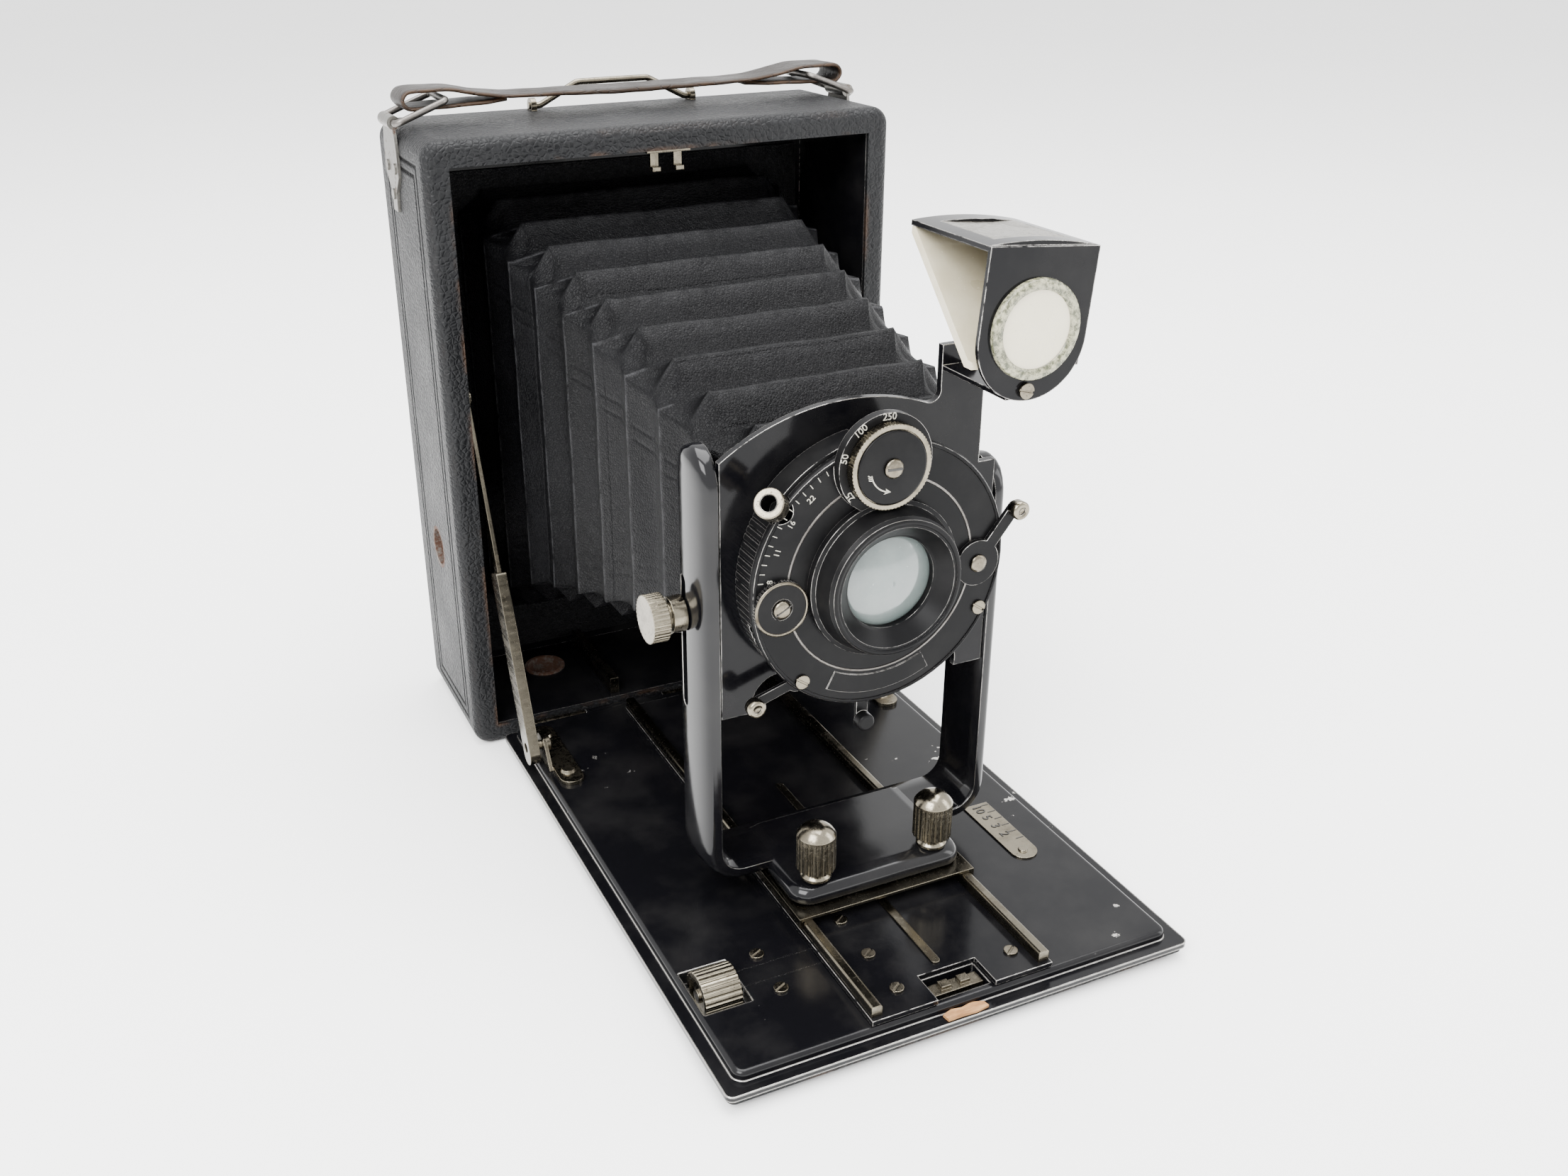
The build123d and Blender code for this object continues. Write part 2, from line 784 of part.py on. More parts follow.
def make_standard():
    with BuildPart() as standard:
        with BuildSketch(facing(arm_front)) as outline:
            with BuildLine():
                Polyline(
                    (-arm_outer, left_arm_top),
                    (-arm_outer, base_low),
                    (arm_outer, base_low),
                    (arm_outer, right_arm_top),
                    (arm_inner, right_arm_top),
                    (arm_inner, base_top),
                    (-arm_inner, base_top),
                    (-arm_inner, left_arm_top),
                    close=True,
                )
            make_face()
            low = outline.vertices().group_by(Axis.Y)[0]
            fillet(low, 8.5)
            inside = outline.vertices().group_by(Axis.Y)[1]
            fillet(inside, 5.5)
        extrude(amount=-(arm_front - arm_rear))
        upright = standard.edges().filter_by(Axis.Z).sort_by(Axis.X)
        chamfer(upright[:2] + upright[-2:], 1.6)
        # rounded tops of the arms
        for hand, top in ((-1, left_arm_top), (1, right_arm_top)):
            half = (arm_front - arm_rear) / 2
            with BuildSketch(side(hand * 33.1 - 4)):
                with Locations((ahead(arm_front - half), top - half / 2)):
                    Rectangle(2 * half + 2, half + 0.02)
                with Locations((ahead(arm_front - half), top - half - top_ease)):
                    Circle(half + top_ease, mode=Mode.SUBTRACT)
            extrude(amount=8, mode=Mode.SUBTRACT)
        # shelf in front of the arms
        with BuildSketch(level(base_low)) as shelf:
            with Locations((0, (ahead(base_front) + ahead(arm_rear + 2)) / 2)):
                Rectangle(2 * base_half, base_front - arm_rear - 2)
            fillet(shelf.vertices().group_by(Axis.Y)[0], 4.5)
        extrude(amount=base_top - base_low)
        # slots for the stems of the pinch knobs, and the left arm's slot for the rise screw
        for hand in (-1, 1):
            with BuildSketch(level(base_low - 1)):
                with Locations((hand * (knob_x - 0.9), ahead(knob_ahead))):
                    SlotOverall(6.4, 3.4)
            extrude(amount=8, mode=Mode.SUBTRACT)
        with BuildSketch(side(-arm_outer - 1)):
            with Locations((ahead(slot_ahead), (slot_low + slot_high) / 2)):
                SlotOverall(slot_high - slot_low, 2 * slot_half, rotation=90)
        extrude(amount=6, mode=Mode.SUBTRACT)
        # hollow under the base, as pressed from sheet
        with Locations((0, ahead(95), base_low + 1.2)):
            Box(16, 20, 3.2, mode=Mode.SUBTRACT)
    save(standard, "front_standard")


def make_pinch_knob(name, hand):
    foot = base_top + 0.1
    dome_r = (4.2**2 + 2.6**2) / (2 * 2.6)
    with BuildPart() as knob:
        with BuildSketch(Plane.XZ.offset(-ahead(knob_ahead))):
            with BuildLine():
                Polyline(
                    (0, base_low + 0.1),
                    (1.5, base_low + 0.1),
                    (1.5, foot),
                    (3.3, foot),
                    (3.3, foot + 0.6),
                    (2.2, foot + 1.8),
                    (2.2, foot + 2.4),
                    (4.2, foot + 2.4),
                    (4.2, foot + 10.6),
                )
                RadiusArc((4.2, foot + 10.6), (0, foot + 13.2), -dome_r)
                Line((0, foot + 13.2), (0, base_low + 0.1))
            make_face()
        revolve(axis=Axis((0, ahead(knob_ahead), 0), (0, 0, 1)))
        with BuildSketch(level(foot + 2.0)):
            with Locations((0, ahead(knob_ahead))):
                with PolarLocations(4.35, 22):
                    Circle(0.36)
        extrude(amount=8.3, mode=Mode.SUBTRACT)
    knob.part.position = (hand * knob_x, 0, 0)
    knob.part.label = name
    export_step(knob.part, "parts/" + name + ".step")


def make_board():
    """The sliding lens board, with an arched top and a tall arm on its right for the finder."""
    with BuildPart() as board:
        with BuildSketch(facing(board_front)) as outline:
            with BuildLine():
                Line((-board_half, 52.2), (-board_half, 107.5))
                ThreePointArc((-board_half, 107.5), (-1.0, 116.2), (14.0, 113.0))
                ThreePointArc((14.0, 113.0), (16.3, 113.4), (17.0, 115.6))
                Polyline(
                    (17.0, 115.6),
                    (17.0, 124.2),
                    (22.4, 124.2),
                    (24.6, 123.2),
                    (25.6, 121.0),
                    (27.0, 114.0),
                    (27.0, 98.5),
                    (board_half, 98.5),
                    (board_half, 52.2),
                    (24.0, 52.2),
                )
                ThreePointArc((24.0, 52.2), (22.2, 58.4), (17.0, 60.0))
                Line((17.0, 60.0), (-17.0, 60.0))
                ThreePointArc((-17.0, 60.0), (-22.2, 58.4), (-24.0, 52.2))
                Line((-24.0, 52.2), (-board_half, 52.2))
            make_face()
            with Locations((0, lens_z)):
                Circle(bore_r, mode=Mode.SUBTRACT)
        extrude(amount=-board_thick)
        # shelf and upturned lug that carry the finder
        with BuildSketch(level(119.2)):
            with Locations((finder_x, (ahead(finder_ahead - 1.4) + ahead(board_front)) / 2)):
                Rectangle(5.0, finder_ahead - 1.4 - board_front)
        extrude(amount=0.9)
        with BuildSketch(facing(finder_ahead - 1.4)):
            with Locations((finder_x, finder_z - 0.4)):
                Rectangle(5.0, 3.8)
            with Locations((finder_x, finder_z)):
                Circle(0.75, mode=Mode.SUBTRACT)
        extrude(amount=-0.9)
        # lug behind the left edge that takes the rise screw
        with Locations((-board_half + 1.0, ahead((slot_ahead - 3 + board_front) / 2), rise_z)):
            Box(2.0, board_front - slot_ahead + 3, 7)
        with BuildSketch(side(-board_half - 0.5)):
            with Locations((ahead(slot_ahead), rise_z)):
                Circle(1.26)
        extrude(amount=4, mode=Mode.SUBTRACT)
    save(board, "lens_board")


def make_rise_knob():
    with BuildPart() as knob:
        with BuildSketch(side(-43.2)):
            with Locations((ahead(slot_ahead), rise_z)):
                Circle(5.0)
                with PolarLocations(5.12, 36):
                    Circle(0.26, mode=Mode.SUBTRACT)
        extrude(amount=3.6)
        with BuildSketch(side(-39.6)):
            with Locations((ahead(slot_ahead), rise_z)):
                Circle(2.6)
        extrude(amount=1.2)
        with BuildSketch(side(-38.4)):
            with Locations((ahead(slot_ahead), rise_z)):
                Circle(3.8)
        extrude(amount=3.0)
        with BuildSketch(side(-35.4)):
            with Locations((ahead(slot_ahead), rise_z)):
                Circle(1.2)
        extrude(amount=6.3)
    save(knob, "rise_knob")


# ---------------------------------------------------------------- shutter and lens


dial_x = -1.0
dial_z = 106.2
dial_r = 10.1
dial_ring_r = 8.5
socket_bore = 1.6
socket_plane = Plane(
    origin=(-20.2, ahead(100.0), 97.8), x_dir=(0.53, 0, 0.61), z_dir=(-0.61, -0.59, 0.53)
)


def make_shutter():
    gear_r = shutter_r - 0.5
    with BuildPart() as housing:
        with BuildSketch(facing(board_front)):
            with Locations((0, lens_z)):
                Circle(gear_r)
                with PolarLocations(gear_r + 0.1, 110):
                    Circle(0.3, mode=Mode.SUBTRACT)
                Circle(bore_r - 0.1, mode=Mode.SUBTRACT)
        extrude(amount=face_ahead - face_thick - board_front)
        # engraved aperture scale band on the upper left of the rim
        with BuildSketch(facing(board_front + 1.2)):
            with Locations((0, lens_z)):
                Circle(shutter_r + 0.9)
                Circle(shutter_r - 2, mode=Mode.SUBTRACT)
            with BuildLine():
                Polyline((0, lens_z), (-60, lens_z + 42), (-60, lens_z + 90), (-14, lens_z + 90),
                         (0, lens_z), close=False)
            make_face(mode=Mode.INTERSECT)
        extrude(amount=face_ahead - face_thick - board_front - 1.2)
        # threaded tube that reaches back through the board, with its ring nut
        with BuildSketch(facing(board_front)):
            with Locations((0, lens_z)):
                Circle(bore_r - 0.1)
                Circle(bore_r - 1.6, mode=Mode.SUBTRACT)
        extrude(amount=-(board_thick + 3.0))
        with BuildSketch(facing(board_front - board_thick)):
            with Locations((0, lens_z)):
                Circle(bore_r + 2.4)
                Circle(bore_r - 0.1, mode=Mode.SUBTRACT)
        extrude(amount=-1.6)
        # groove round the lower half, for the aperture pointer and the release lever
        with BuildSketch(facing(98.9)):
            with Locations((0, lens_z)):
                Circle(shutter_r + 1)
                Circle(24.6, mode=Mode.SUBTRACT)
            with Locations((0, lens_z - 20)):
                Rectangle(70, 26, mode=Mode.INTERSECT)
        extrude(amount=1.7, mode=Mode.SUBTRACT)
        # leaning socket for the cable release
        with BuildSketch(socket_plane):
            Circle(2.0)
        extrude(amount=6.0)
        with BuildSketch(socket_plane.offset(4.8)):
            Circle(2.9)
        extrude(amount=3.6)
        with BuildSketch(socket_plane.offset(2.6)):
            Circle(socket_bore)
        extrude(amount=7.0, mode=Mode.SUBTRACT)
    save(housing, "shutter_housing")
    with BuildPart() as face:
        with BuildSketch(facing(face_ahead - face_thick)):
            with Locations((0, lens_z)):
                Circle(shutter_r)
                Circle(barrel_r - 2.0, mode=Mode.SUBTRACT)
        extrude(amount=face_thick)
        fillet(face.edges().filter_by(GeomType.CIRCLE).sort_by(Axis.Y)[0:1], 0.5)
        # raised blank cartouche low on the face
        with BuildSketch(facing(face_ahead)):
            with Locations((0, lens_z)):
                Circle(25.6)
                Circle(21.6, mode=Mode.SUBTRACT)
            with BuildLine():
                Polyline((0, lens_z), (-15.5, lens_z - 30), (15.5, lens_z - 30), close=True)
            make_face(mode=Mode.INTERSECT)
        extrude(amount=0.25)
        # fixed scale plate of the speed dial over the upper edge, with the dial's stud
        with BuildSketch(facing(face_ahead)):
            with Locations((dial_x, dial_z)):
                Circle(dial_r)
            with Locations((0, lens_z)):
                Circle(barrel_r + 0.1, mode=Mode.SUBTRACT)
        extrude(amount=2.0)
        with BuildSketch(facing(face_ahead + 2.0)):
            with Locations((dial_x, dial_z)):
                Circle(1.5)
        extrude(amount=2.9)
        with BuildSketch(socket_plane):
            Circle(3.1)
        extrude(amount=12, mode=Mode.SUBTRACT)
    save(face, "shutter_face")


def make_lens():
    with BuildPart() as barrel:
        with BuildSketch(Plane.YZ) as half_section:
            with BuildLine():
                Polyline(
                    (ahead(face_ahead - face_thick - 6), lens_z + bore_r - 1.7),
                    (ahead(face_ahead - face_thick), lens_z + bore_r - 1.7),
                    (ahead(face_ahead - face_thick), lens_z + barrel_r - 2.1),
                    (ahead(face_ahead), lens_z + barrel_r - 2.1),
                    (ahead(face_ahead), lens_z + barrel_r),
                    (ahead(face_ahead + 1.6), lens_z + barrel_r),
                    (ahead(face_ahead + 1.9), lens_z + barrel_r - 0.9),
                    (ahead(barrel_front - 1), lens_z + 14.6),
                    (ahead(barrel_front), lens_z + 13.6),
                    (ahead(barrel_front), lens_z + 12.6),
                    (ahead(barrel_front - 2.6), lens_z + glass_r + 0.5),
                    (ahead(barrel_front - 3.0), lens_z + glass_r),
                    (ahead(barrel_front - 6.0), lens_z + glass_r),
                    (ahead(barrel_front - 6.0), lens_z + glass_r - 1.2),
                    (ahead(face_ahead - face_thick - 6), lens_z + glass_r - 1.2),
                    close=True,
                )
            make_face()
        revolve(axis=Axis((0, 0, lens_z), (0, 1, 0)))
    save(barrel, "lens_barrel")
    glass_rear = ahead(barrel_front - 6.0)
    edge_r = glass_r - 0.02
    curve_r = (edge_r**2 + 2.3**2) / (2 * 2.3)
    with BuildPart() as glass:
        with BuildSketch(Plane.YZ):
            with BuildLine():
                Line((glass_rear, lens_z), (glass_rear, lens_z + edge_r))
                Line((glass_rear, lens_z + edge_r), (glass_rear - 1.6, lens_z + edge_r))
                RadiusArc((glass_rear - 1.6, lens_z + edge_r), (glass_rear - 3.9, lens_z), -curve_r)
                Line((glass_rear - 3.9, lens_z), (glass_rear, lens_z))
            make_face()
        revolve(axis=Axis((0, 0, lens_z), (0, 1, 0)))
    save(glass, "lens_glass")


def make_speed_dial():
    """The milled dial that turns on the stud of the scale plate."""
    with BuildPart() as dial:
        with BuildSketch(facing(face_ahead + 2.1)):
            with Locations((dial_x, dial_z)):
                Circle(dial_ring_r)
                with PolarLocations(dial_ring_r + 0.08, 72):
                    Circle(0.2, mode=Mode.SUBTRACT)
                Circle(1.56, mode=Mode.SUBTRACT)
        extrude(amount=2.2)
        with BuildSketch(facing(face_ahead + 4.3)):
            with Locations((dial_x, dial_z)):
                Circle(dial_ring_r - 1.0)
                Circle(1.56, mode=Mode.SUBTRACT)
        extrude(amount=-0.5, mode=Mode.SUBTRACT)
    save(dial, "speed_dial")


selector_x = -22.4
selector_z = 79.8


def make_selector_dial():
    with BuildPart() as dial:
        with BuildSketch(facing(face_ahead + 0.1)):
            with Locations((selector_x, selector_z)):
                Circle(5.7)
                with PolarLocations(5.75, 48):
                    Circle(0.24, mode=Mode.SUBTRACT)
        extrude(amount=1.3)
        with BuildSketch(facing(face_ahead + 1.4)):
            with Locations((selector_x, selector_z)):
                Circle(2.2)
        extrude(amount=-0.4, mode=Mode.SUBTRACT)
        with BuildSketch(facing(face_ahead + 1.0)):
            with Locations((selector_x, selector_z)):
                Circle(1.8)
        extrude(amount=0.7)
        with Locations((selector_x, ahead(face_ahead + 1.7), selector_z)):
            Box(4, 0.6, 0.45, rotation=(0, -40, 0), mode=Mode.SUBTRACT)
    save(dial, "selector_dial")


def lever(hub, hub_r, tip, tip_r, base, thick, width):
    """A flat lever on a round hub, with a nickel button standing on its tip."""
    angle = math.degrees(math.atan2(tip[1] - hub[1], tip[0] - hub[0]))
    length = math.hypot(tip[0] - hub[0], tip[1] - hub[1])
    with BuildPart() as arm:
        with BuildSketch(facing(base)):
            with Locations(hub):
                Circle(hub_r)
            with Locations(Location(((hub[0] + tip[0]) / 2, (hub[1] + tip[1]) / 2), angle)):
                Rectangle(length, width)
            with Locations(tip):
                Circle(tip_r * 0.7)
        extrude(amount=thick)
        with BuildSketch(facing(base + thick)):
            with Locations(tip):
                Circle(tip_r)
        extrude(amount=2.2)
        fillet(arm.faces().sort_by(Axis.Y)[0].edges(), 0.6)
        with BuildSketch(facing(base + thick + 2.3)):
            with Locations(tip):
                Circle(0.7)
        extrude(amount=-1.0, mode=Mode.SUBTRACT)
    return arm


cocking_hub = (21.8, 80.8)
cocking_tip = (30.0, 91.4)
release_hub = (-16.5, 60.2)
release_tip = (-26.3, 57.2)


def make_levers():
    cocking = lever(cocking_hub, 4.9, cocking_tip, 1.8, face_ahead + 0.1, 1.0, 2.6)
    save(cocking, "cocking_lever")
    release = lever(release_hub, 2.2, release_tip, 1.8, face_ahead - 4.3, 0.8, 2.2)
    save(release, "release_lever")
    with BuildPart() as pointer:
        with BuildSketch(facing(99.2)):
            with Locations((-1.2, lens_z - shutter_r - 3.2)):
                Rectangle(2.6, 8.4)
        extrude(amount=0.9)
        with BuildSketch(facing(100.1)):
            with Locations((-1.2, lens_z - shutter_r - 6.0)):
                Circle(1.9)
        extrude(amount=2.4)
        fillet(pointer.faces().sort_by(Axis.Y)[0].edges(), 0.6)
    save(pointer, "aperture_pointer")


def make_face_screws():
    """Slotted screws on the shutter's face, on the cocking hub and at the finder's pivot."""
    spots = ((-17.2, 62.2, 1.5), (23.3, 70.2, 1.5))
    with BuildPart() as screws:
        for x, z, r in spots:
            with BuildSketch(facing(face_ahead)):
                with Locations((x, z)):
                    Circle(r)
            extrude(amount=0.5)
            with Locations((x, ahead(face_ahead + 0.5), z)):
                Box(4, 0.5, 0.4, rotation=(0, 35, 0), mode=Mode.SUBTRACT)
        with BuildSketch(facing(finder_ahead - 2.3)):
            with Locations((finder_x, finder_z)):
                Circle(0.72)
        extrude(amount=3.3)
        with BuildSketch(facing(finder_ahead + 1.0)):
            with Locations((finder_x, finder_z)):
                Circle(1.5)
        extrude(amount=0.7)
        with Locations((finder_x, ahead(finder_ahead + 1.7), finder_z)):
            Box(4, 0.6, 0.4, rotation=(0, 15, 0), mode=Mode.SUBTRACT)
    save(screws, "face_screws")


# ---------------------------------------------------------------- finder


lean_sin = math.sin(math.radians(finder_lean))
lean_cos = math.cos(math.radians(finder_lean))


def finder_plane(back):
    """The finder's own front-facing plane, set back from its front plate and leaning."""
    return Plane(
        origin=(finder_x, ahead(finder_ahead - back), finder_z),
        x_dir=(lean_cos, 0, -lean_sin),
        z_dir=(0, -1, 0),
    )


def finder_side(x):
    """A plane across the finder: local x runs back, local y runs up the leaning plate."""
    return Plane(
        origin=(finder_x + x * lean_cos, ahead(finder_ahead), finder_z - x * lean_sin),
        x_dir=(0, 1, 0),
        z_dir=(lean_cos, 0, -lean_sin),
    )


def make_finder():
    round_z = finder_half - finder_down
    with BuildPart() as housing:
        with BuildSketch(finder_plane(0)):
            with Locations((0, (round_z + finder_up) / 2)):
                Rectangle(2 * finder_half, finder_up - round_z)
            with Locations((0, round_z)):
                Circle(finder_half)
            with Locations((0, finder_lens_z)):
                Circle(finder_lens_r, mode=Mode.SUBTRACT)
            Circle(0.8, mode=Mode.SUBTRACT)
        extrude(amount=0.9)
        with BuildSketch(finder_plane(0)):
            with BuildLine():
                Polyline(
                    (-finder_half, finder_up - 1.0),
                    (-finder_half, finder_up),
                )
                ThreePointArc((-finder_half, finder_up), (0, finder_up + 0.9), (finder_half, finder_up))
                Polyline(
                    (finder_half, finder_up),
                    (finder_half, finder_up - 1.0),
                    (-finder_half, finder_up - 1.0),
                )
            make_face()
        extrude(amount=-finder_deep)
        with BuildSketch(finder_plane(3.5)):
            with Locations((0, finder_up)):
                Rectangle(16.4, 4)
        extrude(amount=-17.5, mode=Mode.SUBTRACT)
        # right-hand cheek, which closes that side of the wedge
        with BuildSketch(finder_side(finder_half - 0.6)):
            with BuildLine():
                Polyline(
                    (0, 4.0),
                    (0, finder_up),
                    (finder_deep, finder_up),
                    (finder_deep, finder_up - 2),
                    (3.4, 4.0),
                    close=True,
                )
            make_face()
        extrude(amount=0.6)
    save(housing, "finder_housing")
    with BuildPart() as mirror:
        with BuildSketch(finder_side(-finder_half + 0.1)):
            with BuildLine():
                Polyline(
                    (0.3, 4.0),
                    (2.6, 4.0),
                    (finder_deep - 0.3, finder_up - 2.4),
                    (finder_deep - 0.3, finder_up - 1.1),
                    (finder_deep - 1.4, finder_up - 1.1),
                    (1.6, 5.4),
                    (0.3, 5.4),
                    close=True,
                )
            make_face()
        extrude(amount=2 * finder_half - 0.8)
    save(mirror, "finder_mirror")
    with BuildPart() as lens:
        with BuildSketch(finder_plane(0)):
            with Locations((0, finder_lens_z)):
                Circle(finder_lens_r - 0.02)
        extrude(amount=1.6)
        fillet(lens.faces().sort_by(Axis.Y)[0].edges(), 0.7)
    save(lens, "finder_lens")
    with BuildPart() as window:
        with BuildSketch(finder_plane(3.6)):
            with Locations((0, finder_up - 0.25)):
                Rectangle(16.2, 1.4)
        extrude(amount=-17.3)
    save(window, "finder_window")


# ---------------------------------------------------------------- bellows


def bellows_section(distance):
    """Half width, half height and centre height of the bellows at a distance ahead."""
    share = (distance - bellows_rear) / (bellows_end - bellows_rear)
    half_width = bellows_rear_half_width + (bellows_end_half_width - bellows_rear_half_width) * share
    half_height = bellows_rear_half_height + (bellows_end_half_height - bellows_rear_half_height) * share
    centre = bellows_rear_centre + (bellows_end_centre - bellows_rear_centre) * share
    return half_width, half_height, centre


def bellows_tube(start, end):
    with BuildPart() as tube:
        for inset, mode in ((0, Mode.ADD), (bellows_wall, Mode.SUBTRACT)):
            for distance in (start, end):
                half_width, half_height, centre = bellows_section(distance)
                with BuildSketch(facing(distance)):
                    with Locations((0, centre)):
                        Rectangle(2 * (half_width - inset), 2 * (half_height - inset))
            loft(mode=mode)
    return tube


def make_bellows():
    save(bellows_tube(bellows_rear, bellows_split), "bellows_rear")
    fold_long = (bellows_front - bellows_split) / fold_count
    for fold in range(fold_count):
        start = bellows_split + fold * fold_long
        save(bellows_tube(start + wall_gap, start + fold_long), "bellows_fold_" + str(fold + 1))
    save(bellows_tube(bellows_front + wall_gap, bellows_end), "bellows_cuff")


make_body()
make_tripod_bushes()
make_hinge()
make_body_rails()
make_catch_plate()
make_back()
make_back_bail()
make_bail_eyes()
for side_name, hand in (("left", -1), ("right", 1)):
    make_strap_bracket("strap_bracket_" + side_name, hand)
    make_strap_ring("strap_ring_" + side_name, hand)
    make_strut_bracket("strut_bracket_" + side_name, hand)
    make_strut(side_name, hand)
    make_pinch_knob("pinch_knob_" + side_name, hand)
make_hand_strap()
make_bed()
make_bed_latch()
make_distance_scale()
make_focus_drive()
make_track()
make_slider()
make_standard()
make_board()
make_rise_knob()
make_shutter()
make_lens()
make_speed_dial()
make_selector_dial()
make_levers()
make_face_screws()
make_finder()
make_bellows()
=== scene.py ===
import math

import bpy
from mathutils import Matrix, Vector


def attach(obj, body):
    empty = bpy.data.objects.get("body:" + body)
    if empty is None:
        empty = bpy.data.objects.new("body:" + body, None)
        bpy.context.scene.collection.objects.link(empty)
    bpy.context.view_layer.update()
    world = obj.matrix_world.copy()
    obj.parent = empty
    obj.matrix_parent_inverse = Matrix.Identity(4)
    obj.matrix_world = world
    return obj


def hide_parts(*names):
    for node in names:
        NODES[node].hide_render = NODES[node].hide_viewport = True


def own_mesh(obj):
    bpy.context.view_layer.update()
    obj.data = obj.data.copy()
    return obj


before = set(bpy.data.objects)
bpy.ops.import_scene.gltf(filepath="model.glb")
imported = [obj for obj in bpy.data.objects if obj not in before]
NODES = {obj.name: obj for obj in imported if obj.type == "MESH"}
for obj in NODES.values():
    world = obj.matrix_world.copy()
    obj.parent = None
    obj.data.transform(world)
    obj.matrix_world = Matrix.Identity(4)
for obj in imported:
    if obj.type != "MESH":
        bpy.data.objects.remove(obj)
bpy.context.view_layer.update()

MM = 0.001

# the body, in metres: its front face and back edge along Y, its top, and the leather's outer side
FRONT = 0.0487
BACK_EDGE = 0.0907
BODY_TOP = 0.1551
SIDE_SKIN = 0.0591

# the bellows' pleats: their pitch in mm, and how far ahead of the front face a top ridge lies, in metres
PITCH = 14.3
CREST = 0.0758


def P(x, d, z):
    """A point x to the right, d ahead of the body's front face and z above the table, in mm."""
    return Vector((x * MM, FRONT - d * MM, z * MM))


# ------------------------------------------------------------------ node material helpers


class Mat:
    """Short names for building one procedural material."""

    def __init__(self, name):
        self.mat = bpy.data.materials.new(name)
        self.mat.use_nodes = True
        self.tree = self.mat.node_tree
        self.tree.nodes.clear()
        self.out = self.n("ShaderNodeOutputMaterial")
        self.shader = self.n("ShaderNodeBsdfPrincipled")
        self.link(self.shader.outputs[0], self.out.inputs[0])
        self.coord = self.n("ShaderNodeTexCoord").outputs["Object"]

    def n(self, kind, **settings):
        node = self.tree.nodes.new(kind)
        for key, value in settings.items():
            setattr(node, key, value)
        return node

    def link(self, a, b):
        self.tree.links.new(a, b)

    def put(self, socket, value):
        if isinstance(value, bpy.types.NodeSocket):
            self.link(value, socket)
        else:
            socket.default_value = value

    def noise(self, scale, detail=4, rough=0.6, distort=0.0, vector=None):
        node = self.n("ShaderNodeTexNoise")
        self.link(vector or self.coord, node.inputs["Vector"])
        node.inputs["Scale"].default_value = scale
        node.inputs["Detail"].default_value = detail
        node.inputs["Roughness"].default_value = rough
        node.inputs["Distortion"].default_value = distort
        return node.outputs[0]

    def cells(self, scale, vector=None):
        """Distance to the nearest edge between cells: 0 on the cracks."""
        node = self.n("ShaderNodeTexVoronoi", feature="DISTANCE_TO_EDGE")
        self.link(vector or self.coord, node.inputs["Vector"])
        node.inputs["Scale"].default_value = scale
        return node.outputs["Distance"]

    def ramp(self, value, low, high, a=0.0, b=1.0):
        node = self.n("ShaderNodeMapRange")
        node.clamp = True
        self.put(node.inputs[0], value)
        for i, v in enumerate((low, high, a, b)):
            node.inputs[i + 1].default_value = v
        return node.outputs[0]

    def math(self, op, a, b=0.0):
        node = self.n("ShaderNodeMath", operation=op)
        self.put(node.inputs[0], a)
        self.put(node.inputs[1], b)
        return node.outputs[0]

    def mul(self, a, b):
        return self.math("MULTIPLY", a, b)

    def add(self, a, b):
        return self.math("ADD", a, b)

    def mix(self, share, a, b):
        node = self.n("ShaderNodeMix", data_type="RGBA")
        self.put(node.inputs[0], share)
        for socket, value in ((node.inputs[6], a), (node.inputs[7], b)):
            self.put(socket, value if not isinstance(value, tuple) else (*value, 1.0))
        return node.outputs[2]

    def stretch(self, x, y, z):
        node = self.n("ShaderNodeMapping")
        self.link(self.coord, node.inputs[0])
        node.inputs["Scale"].default_value = (x, y, z)
        return node.outputs[0]

    def xyz(self):
        node = self.n("ShaderNodeSeparateXYZ")
        self.link(self.coord, node.inputs[0])
        return node.outputs

    def edges(self, radius):
        """1 on sharp outside edges, 0 on flat faces."""
        bevel = self.n("ShaderNodeBevel", samples=6)
        bevel.inputs["Radius"].default_value = radius
        geometry = self.n("ShaderNodeNewGeometry")
        dot = self.n("ShaderNodeVectorMath", operation="DOT_PRODUCT")
        self.link(bevel.outputs[0], dot.inputs[0])
        self.link(geometry.outputs["Normal"], dot.inputs[1])
        return self.ramp(dot.outputs["Value"], 0.995, 0.86)

    def bump(self, height, strength, distance=0.0004, round_edges=0.0):
        node = self.n("ShaderNodeBump")
        self.put(node.inputs["Height"], height)
        node.inputs["Strength"].default_value = strength
        node.inputs["Distance"].default_value = distance
        if round_edges:
            bevel = self.n("ShaderNodeBevel", samples=6)
            bevel.inputs["Radius"].default_value = round_edges
            self.link(bevel.outputs[0], node.inputs["Normal"])
        self.link(node.outputs[0], self.shader.inputs["Normal"])

    def set(self, **values):
        names = {"color": "Base Color", "rough": "Roughness", "metal": "Metallic", "coat": "Coat Weight",
                 "coat_rough": "Coat Roughness", "spec": "Specular IOR Level"}
        for key, value in values.items():
            if isinstance(value, tuple):
                value = (*value, 1.0)
            self.put(self.shader.inputs[names[key]], value)
        return self.mat


